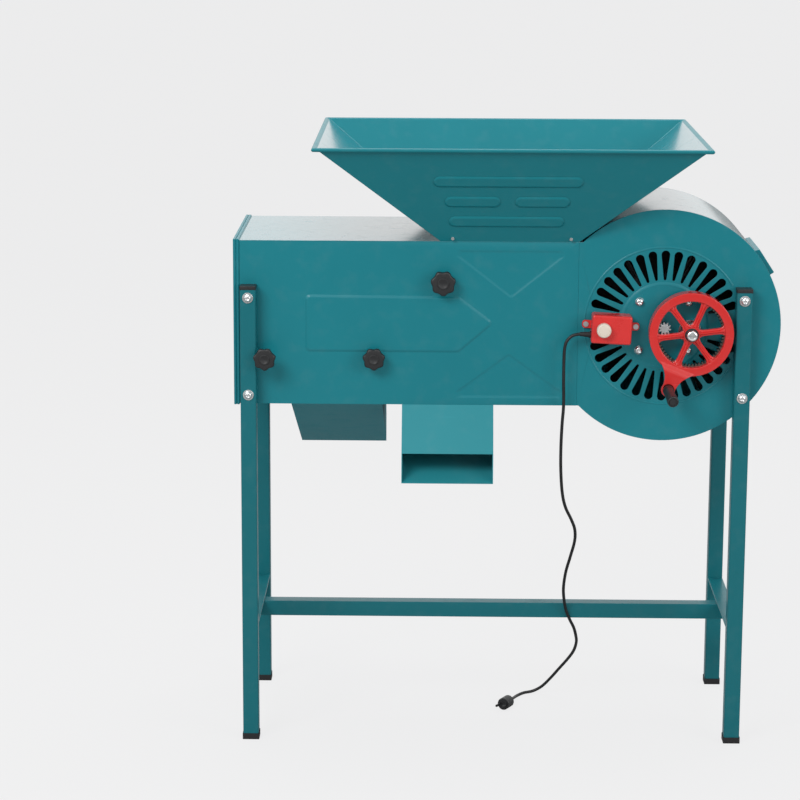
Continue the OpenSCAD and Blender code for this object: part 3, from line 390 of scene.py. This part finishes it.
def round_edges(piece, width_mm):
    weld = piece.modifiers.new("one_skin", "WELD")
    weld.merge_threshold = WELD_WITHIN * MM
    bevel = piece.modifiers.new("rounded_edges", "BEVEL")
    bevel.width = width_mm * MM
    bevel.segments = 2
    bevel.limit_method = "ANGLE"
    bevel.angle_limit = ROUND_ABOVE
    bevel.use_clamp_overlap = True
    flat = piece.modifiers.new("flat_flats", "WEIGHTED_NORMAL")
    flat.keep_sharp = False


for part in frame["record"]["subparts"]:
    name, slot_name = part["node"], part["material_slot"]
    wear(nodes[name], OWN_FINISH.get(name, FINISH[slot_name]))
    if name != "cord":
        round_edges(nodes[name], OWN_EDGE_MM.get(name, EDGE_MM[slot_name]))

# %% [markdown]
# The new cord takes the place of the imported one. It stays on the machine's body and wears cord rubber.

# %% Fit the cord
mains_cord.data.materials.append(cord_rubber)
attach(mains_cord, "machine")
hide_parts("cord")
print("cord fitted")

# %% [markdown]
# The pieces that follow are built straight in mesh code, and most of them are stacks: outlines with
# equally many corners, joined one after the other. A turned piece is a stack too, of circles that
# follow a half profile of radius and height along an axis, as on a lathe.

# %% Stacks of outlines
SMOOTH_BELOW = radians(34)


def skin_between(bm, low, high):
    for k in range(len(low)):
        m = (k + 1) % len(low)
        bm.faces.new((low[k], low[m], high[m], high[k]))


def stacked(bm, outlines, closed=False):
    """Joins outlines one after the other, and closes both ends, or the last one to the first."""
    rings = [[bm.verts.new(spot) for spot in outline] for outline in outlines]
    for low, high in zip(rings, rings[1:] + (rings[:1] if closed else [])):
        skin_between(bm, low, high)
    if not closed:
        bm.faces.new(rings[0][::-1])
        bm.faces.new(rings[-1])


def spun(bm, profile, place, along, sides=48, closed=False):
    """Spins a profile of (radius, height) about an axis, as a ring where the profile is closed."""
    turn_to = Vector(along).normalized().to_track_quat("Z", "Y").to_matrix()
    turns = [2 * pi * k / sides for k in range(sides)]
    stacked(bm, [[place + turn_to @ (Vector((r * cos(a), r * sin(a), h)) * MM) for a in turns]
                 for r, h in profile], closed)


def rectangle(low, high):
    """The corners of a rectangle from its lowest and its highest corner."""
    return [low, (high[0], low[1]), high, (low[0], high[1])]


def with_neighbours(corners):
    """Every corner with the one before it and the one after it, as vectors."""
    points = [Vector(corner) for corner in corners]
    return zip(points[-1:] + points[:-1], points, points[1:] + points[:1])


def round_corners(corners, radius, steps=5):
    """Rounds every corner of a flat figure."""
    points = []
    for a, b, c in with_neighbours(corners):
        u, v = (a - b).normalized(), (c - b).normalized()
        half = u.angle(v) / 2
        centre = b + (u + v).normalized() * radius / sin(half)
        start, end = b + u * radius / tan(half) - centre, b + v * radius / tan(half) - centre
        points += [centre + (start.lerp(end, k / steps)).normalized() * radius for k in range(steps + 1)]
    return points


def grown(corners, by):
    """Moves every side of a flat figure outwards."""
    moved = []
    for a, b, c in with_neighbours(corners):
        u, v = (a - b).normalized(), (c - b).normalized()
        moved.append(b - by * (u + v) / abs(u.x * v.y - u.y * v.x))
    return moved


print("outline tools ready")

# %% [markdown]
# One function turns a building function into a piece of the scene. It shades what is round, keeps the
# creases sharp, puts the piece on the body that it moves with, and hides the imported pieces that it
# stands for.

# %% From a mesh to a piece


def dressed_piece(name, build, body, material, stands_for=()):
    bm = bmesh.new()
    build(bm)
    bmesh.ops.recalc_face_normals(bm, faces=bm.faces)
    mesh = bpy.data.meshes.new(name)
    bm.to_mesh(mesh)
    bm.free()
    for face in mesh.polygons:
        face.use_smooth = True
    mesh.set_sharp_from_angle(angle=SMOOTH_BELOW)
    mesh.materials.append(material)
    piece = bpy.data.objects.new(name, mesh)
    bpy.context.scene.collection.objects.link(piece)
    flat = piece.modifiers.new("flat_flats", "WEIGHTED_NORMAL")
    flat.keep_sharp = True
    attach(piece, body)
    if stands_for:
        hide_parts(*stands_for)
    return piece


print("piece maker ready")

# %% [markdown]
# A leg is a square tube with rolled corners. Its two rings of outline, outer and inner, are drawn once
# and stretched from the foot to the plug, so the long flats stay perfectly plain under a soft light.

# %% Legs of square tube
LEG_X, LEG_Y = (17, 945), (-15, 355)
TUBE_HALF, TUBE_SHEET = 15, 1.5
TUBE_FOOT, TUBE_TOP = 6, 880
OUTER_ROUND, INNER_ROUND = 3.2, 1.8


def leg_tube(bm, x, y):
    rings = []
    for half, radius, ends in ((TUBE_HALF, OUTER_ROUND, (TUBE_FOOT, TUBE_TOP)),
                               (TUBE_HALF - TUBE_SHEET, INNER_ROUND, (TUBE_TOP, TUBE_FOOT))):
        outline = round_corners(rectangle((x - half, y - half), (x + half, y + half)), radius)
        rings += [[at(*p, z) for p in outline] for z in ends]
    stacked(bm, rings, closed=True)


for end, y in zip(("front", "back"), LEG_Y):
    for hand, x in zip(("left", "right"), LEG_X):
        name = "leg_" + end + "_" + hand
        dressed_piece(name + "_tube", lambda bm: leg_tube(bm, x, y), "machine", leg_paint,
                      [name])
print("four legs")

# %% [markdown]
# The leg bolts and motor bolts have bright domed heads with a socket, over a plain washer. One half
# profile, from the end of the shank to the bottom of the socket, is spun for every one of them.

# %% Bolts with domed heads
SHANK_R = 4.0
LEG_BOLT_Z = (680, 865)
LEG_BOLT_SHANK, LEG_WASHER_R = 39, 10
MOTOR_BOLT_OFF, DISC_OUT = 46, 1.2
MOTOR_BOLT_SHANK, MOTOR_WASHER_R = 7, 8
DOME_PROFILE = [(7.4, 1.6), (7.5, 2.4), (7.1, 4.0), (6.2, 5.5), (4.9, 6.5), (3.6, 6.9), (3.2, 6.7),
                (3.1, 4.4), (0.4, 4.0)]


def domed_bolt(bm, place, along, shank, washer):
    foot = [(SHANK_R - 0.6, -shank), (SHANK_R, -shank + 0.6), (SHANK_R, 0)]
    disc = [(washer - 0.4, 0), (washer, 0.4), (washer, 1.2), (washer - 0.5, 1.6)]
    spun(bm, foot + disc + DOME_PROFILE, place, along, sides=32)


def leg_bolt_set(bm):
    for x in LEG_X:
        for z in LEG_BOLT_Z:
            for y, side in ((LEG_Y[0] - TUBE_HALF, -1), (LEG_Y[1] + TUBE_HALF, 1)):
                domed_bolt(bm, at(x, y, z), (0, side, 0), LEG_BOLT_SHANK, LEG_WASHER_R)


def motor_bolt_set(bm):
    for off_x in (-MOTOR_BOLT_OFF, MOTOR_BOLT_OFF):
        for off_z in (-MOTOR_BOLT_OFF, MOTOR_BOLT_OFF):
            place = at(DRUM_X + off_x, outside(-1, DISC_OUT), DRUM_Z + off_z)
            domed_bolt(bm, place, (0, -1, 0), MOTOR_BOLT_SHANK, MOTOR_WASHER_R)


dressed_piece("leg_bolts_domed", leg_bolt_set, "machine", bright_zinc, ["leg_bolts"])
dressed_piece("motor_bolts_domed", motor_bolt_set, "machine", bright_zinc, ["motor_bolts"])
print("twelve bolts")

# %% [markdown]
# The knobs on the flaps are moulded discs with seven shallow scallops, a rounded rim and a small dished
# insert. The radius of each ring swells and falls seven times round, less so towards the middle. A
# ring is given as its share of the knob's radius, its height and its share of the scallops' depth.

# %% Scalloped knobs
KNOB_RINGS = [(0.5, 0, 0), (0.5, 4, 0), (0.90, 4, 1), (0.98, 5, 1), (1, 6.5, 1), (1, 11.6, 1),
              (0.965, 13.6, 1), (0.9, 14.7, 0.9), (0.8, 15, 0.6), (0.5, 15.1, 0), (0.47, 15.1, 0),
              (0.45, 16.2, 0), (0.4, 16.5, 0), (0.33, 16.4, 0), (0.26, 15.4, 0), (0.02, 15.0, 0)]
KNOB_SIDES, SCALLOPS, SCALLOP_DEPTH, KNOB_TURN = 84, 7, 0.062, 0.25
KNOBS = (("feed_gate_knob", "gate", 382.4, 893.5, 24, 12), ("divider_knob", "divider", 253, 748.5, 21.5, 12),
         ("tail_knob", "tail", 48.7, 751, 21.5, 33))


def knob(bm, x, z, radius, stand):
    rings = []
    for share, height, scallop in KNOB_RINGS:
        ring = []
        for k in range(KNOB_SIDES):
            a = 2 * pi * k / KNOB_SIDES
            r = radius * share * (1 - SCALLOP_DEPTH * scallop * (1 - cos(SCALLOPS * a)))
            ring.append(at(x + r * cos(a + KNOB_TURN), -stand - height, z + r * sin(a + KNOB_TURN)))
        rings.append(ring)
    stacked(bm, rings)


for name, body, x, z, radius, stand in KNOBS:
    dressed_piece(name + "_scalloped", lambda bm: knob(bm, x, z, radius, stand), body,
                  black_plastic, [name])
print("three knobs")

# %% [markdown]
# The figures on the side panels are pressed in the sheet, so their sides slope softly. The highlights
# show that the pointed tag stands out, while the two triangles are pressed in: they are dark along the
# top and bright below. The side sheet is one outline with the figures let into it. Each figure comes
# with its depth, as a share of the slope's height outwards, and with the radius of its corners. A
# slope is a list of how far a ring lies outside the figure's outline and how high it stands.

# %% Side sheet with pressed figures
SHEET = 1.5
TAG = [(128.5, 764), (411, 764), (470, 815), (411, 860), (128.5, 862)]
UPPER_TRIANGLE = [(408, 948), (510, 869), (608, 948)]
LOWER_TRIANGLE = [(408, 677), (609, 677), (507, 751)]
FIGURES = ((TAG, 1, 6), (UPPER_TRIANGLE, -0.62, 5), (LOWER_TRIANGLE, -0.62, 5))
SLOPE = [(6.6, 0), (6.0, 0), (5.6, 0.05), (4.8, 0.35), (3.6, 0.95), (2.3, 1.65), (1.2, 2.0), (0.2, 2.15),
         (-0.4, 2.15)]
PANEL_CORNERS = rectangle((0.2, 658), (635.8, 968.5))
PANEL_ROUND, ROUND_GROWTH = 0.8, 0.4


def side_sheet(bm, side):
    def ring_of(corners, radius, steps, out):
        points = round_corners(corners, radius, steps)
        return [bm.verts.new(at(p.x, outside(side, out), p.y)) for p in points]

    def edges_round(ring):
        return [bm.edges.get(pair) or bm.edges.new(pair) for pair in zip(ring, ring[1:] + ring[:1])]

    borders = edges_round(ring_of(PANEL_CORNERS, PANEL_ROUND, steps=2, out=0))
    for figure, depth, radius in FIGURES:
        rings = [ring_of(grown(figure, by), radius + ROUND_GROWTH * by, steps=5, out=depth * height)
                 for by, height in SLOPE]
        for low, high in zip(rings, rings[1:]):
            skin_between(bm, low, high)
        bm.faces.new(rings[-1])
        borders += edges_round(rings[0])
    bmesh.ops.triangle_fill(bm, edges=borders, use_beauty=True)


def thicken(sheet, side):
    """Turns the sheet's faces outwards and gives it its thickness on the inner side."""
    widest = max(sheet.data.polygons, key=lambda face: face.area)
    if widest.normal.y * side < 0:
        sheet.data.flip_normals()
    thick = sheet.modifiers.new("sheet_thickness", "SOLIDIFY")
    thick.thickness = SHEET * MM
    thick.offset = -1
    sheet.modifiers.move(1, 0)


print("side sheet drawn")

# %% [markdown]
# The bars on the hopper's long walls stand out with the same kind of slope. A bar is given by the x of
# its middle, its share of the way up the leaning wall and its length, and its outline is two half
# circles, one at each end.

# %% Pressings on both sides
HOPPER_FOOT, HOPPER_RISE, HOPPER_REACH = 970, 186, 115
LEAN = atan2(HOPPER_REACH, HOPPER_RISE)
WALL_RUN = HOPPER_RISE / cos(LEAN)
BARS = [(500.5, 0.65, 267), (435.5, 0.435, 95), (564.5, 0.435, 93), (499, 0.22, 206)]
BAR_HALF, BAR_SLOPE = 8, 0.8


def bar_skin(bm, x, share, length, side):
    middle = length / 2 - BAR_HALF
    ends = [(middle, a) for a in range(-90, 91, 12)] + [(-middle, a) for a in range(90, 260, 12)]
    rings = []
    for by, height in SLOPE:
        r = BAR_HALF + by * BAR_SLOPE
        ring = []
        for u, turned in ends:
            along = share * WALL_RUN + r * sin(radians(turned))
            y = outside(side, along * sin(LEAN) + height * cos(LEAN))
            z = HOPPER_FOOT + along * cos(LEAN) - height * sin(LEAN)
            ring.append(at(x + u + r * cos(radians(turned)), y, z))
        rings.append(ring)
    stacked(bm, rings)


def bar_skins(bm, side):
    for bar in BARS:
        bar_skin(bm, *bar, side)


for end, side in SIDES:
    sheet = dressed_piece(end + "_panel_sheet", lambda bm: side_sheet(bm, side), "machine",
                          teal_paint, [end + "_panel"])
    thicken(sheet, side)
    dressed_piece(end + "_hopper_pressings", lambda bm: bar_skins(bm, side), "machine",
                  hopper_paint)
print("pressed figures on both sides")

# %% [markdown]
# The hopper is a four-sided funnel whose upper edge is rolled outwards into a thin bead. Its skin is one
# stack of rounded rectangles: up the outside, round the bead and down the inside. The two short walls
# are seen so flat from the front that their gloss turns nearly white, so they get the lid's clear coat.

# %% Hopper with its rolled edge
THROAT, MOUTH = (376.5, 0, 636.5, 340), (145.5, -115, 867.5, 455)
HOPPER_SHEET = 2
WALL_OUT_TOP, WALL_IN_TOP = 1149.5, 1153.4
ROLL_Z, ROLL_OUT, ROLL_R = 1152.2, 1.2, 3.7
ROLL_TURNS = range(-100, 126, 25)
FOLD_ROUND = 1.6


def hopper_ring(z, by, share=None):
    """A rounded rectangle round the funnel: at its own height, or at a given share of the way up."""
    t = (z - HOPPER_FOOT) / HOPPER_RISE if share is None else share
    x0, y0, x1, y1 = (a + (b - a) * t for a, b in zip(THROAT, MOUTH))
    corners = rectangle((x0 - by, y0 - by), (x1 + by, y1 + by))
    return [at(p.x, p.y, z) for p in round_corners(corners, FOLD_ROUND, steps=3)]


def hopper_skin(bm):
    outer = [hopper_ring(HOPPER_FOOT, 0), hopper_ring(WALL_OUT_TOP, 0)]
    roll = [hopper_ring(ROLL_Z + ROLL_R * sin(radians(a)), ROLL_OUT + ROLL_R * cos(radians(a)), 1)
            for a in ROLL_TURNS]
    inner = [hopper_ring(WALL_IN_TOP, -HOPPER_SHEET), hopper_ring(HOPPER_FOOT, -HOPPER_SHEET)]
    stacked(bm, outer + roll + inner, closed=True)


hopper = dressed_piece("hopper_skin", hopper_skin, "machine", hopper_paint,
                       ["hopper_front", "hopper_back", "hopper_left", "hopper_right"])
hopper.data.materials.append(lid_paint)
for face in hopper.data.polygons:
    short_wall, looks_up = abs(face.normal.x) > 0.5, face.normal.z > 0.2
    if short_wall and looks_up:
        face.material_index = 1
print("hopper skin,", len(hopper.data.polygons), "faces")

# %% [markdown]
# A shallow bead runs round each drum plate outside the slots and stops beside the leg, and the middle disc
# has a rolled edge. A dark disc inside the drum behind the slots is painted shade: it makes the slots
# look dark, so that no daylight shows through them. The hatch on the drum's side is a low cover with
# rounded edges, whose section is given by radius and degrees round the drum.

# %% Drum beads, disc edges, painted shade disc and hatch
BEAD = [(146.8, -0.3), (147.2, 0.25), (148.2, 0.75), (149.2, 0.9), (150.2, 0.75), (151.2, 0.25),
        (151.6, -0.3)]
BEAD_FROM, BEAD_SWEEP, BEAD_STEPS = 31, 298, 96
DISC_EDGE = [(84.5, -0.4), (83.6, 0.1), (82.4, 0.5), (81.0, 1.05), (79.6, 1.4), (78.2, 1.5), (76.6, 1.3),
             (76.6, 0.6)]
# The dark disc behind the slots is painted shade, standing where the inside of the drum is only in shadow.
SHADE_DISC = [(22, 0), (162, 0), (163, 0.7), (162, 1.5), (22, 1.5)]
SHADE_DISC_Y = 328
HATCH = [(220, 36.5), (220, 22), (233.5, 22.6), (229.5, 35.6)]
HATCH_RINGS = [(1.2, 86), (0.35, 86.5), (0, 87.6), (0, 252.4), (0.35, 253.5), (1.2, 254)]


def drum_bead(bm, side):
    rings = []
    for k in range(BEAD_STEPS + 1):
        a = radians(BEAD_FROM + BEAD_SWEEP * k / BEAD_STEPS)
        rings.append([at(DRUM_X + r * cos(a), outside(side, h), DRUM_Z + r * sin(a)) for r, h in BEAD])
    stacked(bm, rings)


def disc_edge(bm, side):
    spun(bm, DISC_EDGE, at(DRUM_X, outside(side, 0), DRUM_Z), (0, side, 0), sides=96, closed=True)


def shade_disc(bm):
    spun(bm, SHADE_DISC, at(DRUM_X, SHADE_DISC_Y, DRUM_Z), (0, 1, 0), sides=72, closed=True)


def hatch(bm):
    section = [(r * cos(radians(a)), r * sin(radians(a))) for r, a in HATCH]
    rings = []
    for inset, y in HATCH_RINGS:
        outline = round_corners(grown(section, -inset), FOLD_ROUND, steps=3)
        rings.append([at(DRUM_X + p.x, y, DRUM_Z + p.y) for p in outline])
    stacked(bm, rings)


for end, side in SIDES:
    dressed_piece(end + "_drum_bead", lambda bm: drum_bead(bm, side), "machine", teal_paint)
for end, side in SIDES:
    dressed_piece(end + "_disc_edge", lambda bm: disc_edge(bm, side), "machine", teal_paint)
# The dark disc behind the slots: painted shade.
dressed_piece("drum_shade_disc", shade_disc, "machine", black_metal)
dressed_piece("drum_hatch_cover", hatch, "machine", teal_paint, ["drum_hatch"])
print("beads, disc edges, shutter and hatch")

# %% [markdown]
# The crank wheel is a casting: a deep rim, six spokes with a rounded rib that widen into the rim and the
# hub, and an arm that stands in front of the rim, so that it clears the switch box as it turns. Rim and
# hub are spun, and each spoke and the arm is a stack of cross-sections along its length. A spoke's
# stations are (radius, width), and the arm's are (radius, how far it has risen in front of the rim).
# The arm's edge is rounded through points that lie so far in from its side and back from its front.

# %% Cast crank wheel
CRANK_X, CRANK_Z = 846.163, 802.889
RIM = [(68, 14), (78.0, 14), (79, 14.9), (79, 42.4), (78.5, 43.5), (77.2, 44), (65.2, 44), (63.6, 43.4),
       (62.8, 42), (62.8, 30), (68, 30)]
HUB = [(8.1, 30), (15.6, 30), (15.4, 44.4), (14.6, 45.7), (13.4, 46), (8.1, 46)]
SPOKE_COUNT, FIRST_SPOKE = 6, 7
SPOKE_SECTION = [(-5.4, 30), (-5.4, 37.3), (-4.7, 38), (-2.7, 38.3), (-2.1, 39.9), (-1.1, 40.9),
                 (1.1, 40.9), (2.1, 39.9), (2.7, 38.3), (4.7, 38), (5.4, 37.3), (5.4, 30)]
SPOKE_STATIONS = [(12, 1.5), (16, 1.45), (18.5, 1.2), (22, 1.04), (30, 1), (48, 1), (54, 1.06), (58, 1.22),
                  (60.5, 1.5), (63, 2.1), (66, 2.4)]
ARM_TURN = radians(248)
ARM_STATIONS = [(64, 0), (68, 0.1), (72, 0.55), (76, 0.9), (80, 1), (85, 1), (90, 1), (96, 1), (103, 1),
                (112, 1)]
ARM_REACH, ARM_HALF = 112, 12
ARM_FLARE, FLARE_RUN, FLARE_POWER = 25, 46, 2.4
ARM_BACK, ARM_LOW, ARM_RISE = 43, 43.6, 6.4
ARM_EDGE = [(0, 1.2), (0.5, 0.3), (1.6, 0)]
GRIP_BOSS = [(4.1, 43), (12.4, 43), (13, 43.7), (13, 48.6), (12.6, 49.6), (11.6, 50), (4.1, 50)]
WASHER = [(8.1, 46.05), (12.6, 46.05), (13, 46.4), (13, 47.4), (12.6, 47.8), (8.1, 47.8)]
STUD = [(22, 1.2), (22, 6.2), (13, 6.2), (13, 13.7), (8, 13.7), (8, 47.8), (10.2, 47.8), (10.5, 48.6),
        (10.5, 55), (10.0, 57.2), (8.8, 58.6), (7.2, 59.2), (6.4, 59.0), (6.1, 54.4), (0.3, 54)]
TO_FRONT = (0, -1, 0)


def on_crank(along, across, y, turn_by):
    return at(CRANK_X + along * cos(turn_by) - across * sin(turn_by), -y,
              CRANK_Z + along * sin(turn_by) + across * cos(turn_by))


def arm_sections():
    for r, rise in ARM_STATIONS:
        half = ARM_HALF + ARM_FLARE * ((ARM_REACH - r) / FLARE_RUN) ** FLARE_POWER
        front = ARM_LOW + ARM_RISE * rise
        one_edge = [(half - inwards, front - back) for inwards, back in ARM_EDGE[::-1]] + [(half, ARM_BACK)]
        outline = [(-t, y) for t, y in one_edge[::-1]] + one_edge
        yield [on_crank(r, t, y, ARM_TURN) for t, y in outline]


def wheel(bm):
    centre = on_crank(0, 0, 0, 0)
    spun(bm, RIM, centre, TO_FRONT, sides=96, closed=True)
    spun(bm, HUB, centre, TO_FRONT, closed=True)
    for k in range(SPOKE_COUNT):
        turn_by = radians(FIRST_SPOKE + 360 / SPOKE_COUNT * k)
        stacked(bm, [[on_crank(r, t * wide, y, turn_by) for t, y in SPOKE_SECTION]
                     for r, wide in SPOKE_STATIONS])
    stacked(bm, list(arm_sections()))
    spun(bm, GRIP_BOSS, on_crank(ARM_REACH, 0, 0, ARM_TURN), TO_FRONT, closed=True)


def hub_washer(bm):
    spun(bm, WASHER, on_crank(0, 0, 0, 0), TO_FRONT, closed=True)


def hub_bolt(bm):
    spun(bm, STUD, on_crank(0, 0, 0, 0), TO_FRONT)


dressed_piece("crank_wheel_casting", wheel, "crank", red_paint, ["crank_wheel"])
dressed_piece("hub_washer", hub_washer, "machine", black_metal, ["crank_nut"])
dressed_piece("hub_bolt", hub_bolt, "machine", bright_zinc, ["crank_stud"])
print("crank wheel")

# %% [markdown]
# The switch box is moulded in two: a back half with two round ears, and a lid that sits on it with a
# narrow groove between. Rings of a rounded rectangle, some drawn in a little, give the groove and the
# soft front edge. The dial has a fine ring in its face. The whole switch is tilted by a few degrees.

# %% Switch box and dial
SWITCH_X, SWITCH_Z, SWITCH_OFF = 697.5, 810.5, 1.5
SWITCH_TILT = radians(2.9)
SHELL_HALF_X, SHELL_HALF_Z, SHELL_ROUND = 37.5, 27, 4.5
SHELL_RINGS = [(0.8, 0), (0.4, 0.6), (0.6, 24), (1.6, 24.6), (1.6, 26), (0.2, 26.6), (0, 27.4), (0, 36.2),
               (0.6, 38.2), (1.8, 39.4), (3.4, 40)]
EAR_INNER, EAR_OUTER, EAR_LOW, EAR_HIGH, EAR_ROUND = 30, 53.8, -4.5, 10.5, 5.5
EAR_RINGS = [(1, 0), (1, 2.2), (0.994, 2.6)]
DIAL_PROFILE = [(2.9, -4), (3, 0), (12.6, 0), (13.6, 0.9), (13.7, 8.4), (13.3, 10.6), (12.2, 12.3),
                (10.8, 12.9), (9.9, 12.8), (9.6, 12.2), (9.0, 12.2), (8.7, 12.8), (7.6, 13), (0.3, 13)]
DIAL_LEFT, DIAL_FOOT = 15, 41.5


def on_switch(u, y, v):
    return at(SWITCH_X + u * cos(SWITCH_TILT) + v * sin(SWITCH_TILT), -SWITCH_OFF - y,
              SWITCH_Z - u * sin(SWITCH_TILT) + v * cos(SWITCH_TILT))


def switch_shell(bm):
    rings = []
    for inset, y in SHELL_RINGS:
        half_u, half_v = SHELL_HALF_X - inset, SHELL_HALF_Z - inset
        corners = rectangle((-half_u, -half_v), (half_u, half_v))
        outline = round_corners(corners, SHELL_ROUND - inset * 0.5, steps=6)
        rings.append([on_switch(p.x, y, p.y) for p in outline])
    stacked(bm, rings)
    for hand in (-1, 1):
        corners = rectangle((hand * EAR_INNER, EAR_LOW), (hand * EAR_OUTER, EAR_HIGH))
        outline = round_corners(corners, EAR_ROUND, steps=6)
        stacked(bm, [[on_switch(p.x * share, y, p.y) for p in outline] for share, y in EAR_RINGS])


def dial(bm):
    spun(bm, DIAL_PROFILE, on_switch(-DIAL_LEFT, DIAL_FOOT, 0), TO_FRONT, sides=64)


dressed_piece("switch_shell", switch_shell, "machine", red_plastic, ["switch_box"])
dressed_piece("speed_dial", dial, "dial", cream_plastic, ["speed_knob"])
print("switch box and dial")

# %% [markdown]
# The machine stands on a plain pale floor, whose far edge lies near the horizon. To the camera the floor
# glows most of the way to white, so that it meets the surround without a line and only soft shadows
# are left on it.

# %% Floor
FLOOR_HALF = 90.0
PALE_SHARE = 0.85
PALE = (0.94, 0.94, 0.945, 1)
FLOOR_DARK, FLOOR_LIGHT = (0.44, 0.44, 0.44, 1), (0.48, 0.48, 0.48, 1)

floor_mesh = bpy.data.meshes.new("studio_floor")
floor_corners = rectangle((-FLOOR_HALF, -FLOOR_HALF), (FLOOR_HALF, FLOOR_HALF))
floor_mesh.from_pydata([(x, y, 0) for x, y in floor_corners], [], [(0, 1, 2, 3)])
studio_floor = bpy.data.objects.new("studio_floor", floor_mesh)
bpy.context.scene.collection.objects.link(studio_floor)

floor_finish = Finish("floor_paint")
patches = floor_finish.noise(scale=1.5, detail=3.0)
floor_finish.set(Base_Color=floor_finish.mixed(patches, FLOOR_DARK, FLOOR_LIGHT), Roughness=0.85)
ray = floor_finish.node("LightPath", {}, {})["Is Camera Ray"]
pale = floor_finish.node("Emission", {}, {"Color": PALE, "Strength": 1.0})[0]
painted = Wire(floor_finish, floor_finish.surface.outputs[0])
both = floor_finish.node("MixShader", {}, {0: ray * PALE_SHARE, 1: painted, 2: pale})[0]
floor_finish.feed(floor_finish.tree.nodes["Material Output"].inputs["Surface"], both)
floor_mesh.materials.append(floor_finish.material)
print("floor laid")

# %% [markdown]
# The surround is plain white. It shows bright to the camera and in gloss, but lights the machine at a
# lower level, so colours keep their depth.

# %% Surround
LIGHT_LEVEL, SEEN_LEVEL = 0.42, 0.92

world = bpy.data.worlds.new("surround")
bpy.context.scene.world = world
world.use_nodes = True
sky = world.node_tree
sky.nodes.clear()
path = sky.nodes.new("ShaderNodeLightPath")
seen = sky.nodes.new("ShaderNodeMath")
seen.operation = "MAXIMUM"
sky.links.new(path.outputs["Is Camera Ray"], seen.inputs[0])
sky.links.new(path.outputs["Is Glossy Ray"], seen.inputs[1])
chosen = sky.nodes.new("ShaderNodeMixShader")
sky.links.new(seen.outputs[0], chosen.inputs[0])
for place, level in enumerate((LIGHT_LEVEL, SEEN_LEVEL), start=1):
    white = sky.nodes.new("ShaderNodeBackground")
    white.inputs["Color"].default_value = (1, 1, 1, 1)
    white.inputs["Strength"].default_value = level
    sky.links.new(white.outputs[0], chosen.inputs[place])
out = sky.nodes.new("ShaderNodeOutputWorld")
sky.links.new(chosen.outputs[0], out.inputs["Surface"])
print("white surround")

# %% [markdown]
# Three large soft boxes give the forms their light and shade: a strong one high on the left, a weaker
# one on the right and a broad one overhead. All of them look at the middle of the machine.

# %% Soft boxes
MIDDLE = (0, 0, 0.75)


def soft_box(name, place, target, size, power):
    lamp = bpy.data.lights.new(name, "AREA")
    lamp.shape = "RECTANGLE"
    lamp.size, lamp.size_y = size
    lamp.energy = power
    box = bpy.data.objects.new(name, lamp)
    bpy.context.scene.collection.objects.link(box)
    box.location = place
    box.rotation_euler = (Vector(target) - Vector(place)).to_track_quat("-Z", "Y").to_euler()


soft_box("key_box", (-2.2, -3.4, 3.4), MIDDLE, size=(2.2, 1.6), power=95)
soft_box("fill_box", (3.0, -2.8, 2.0), MIDDLE, size=(2.0, 2.0), power=38)
soft_box("top_box", (0.0, 0.6, 4.0), MIDDLE, size=(3.0, 2.0), power=60)
print("three soft boxes")

# %% [markdown]
# Colours are shown as they are, without a film curve.

# %% Finish
bpy.context.scene.view_settings.view_transform = "Standard"
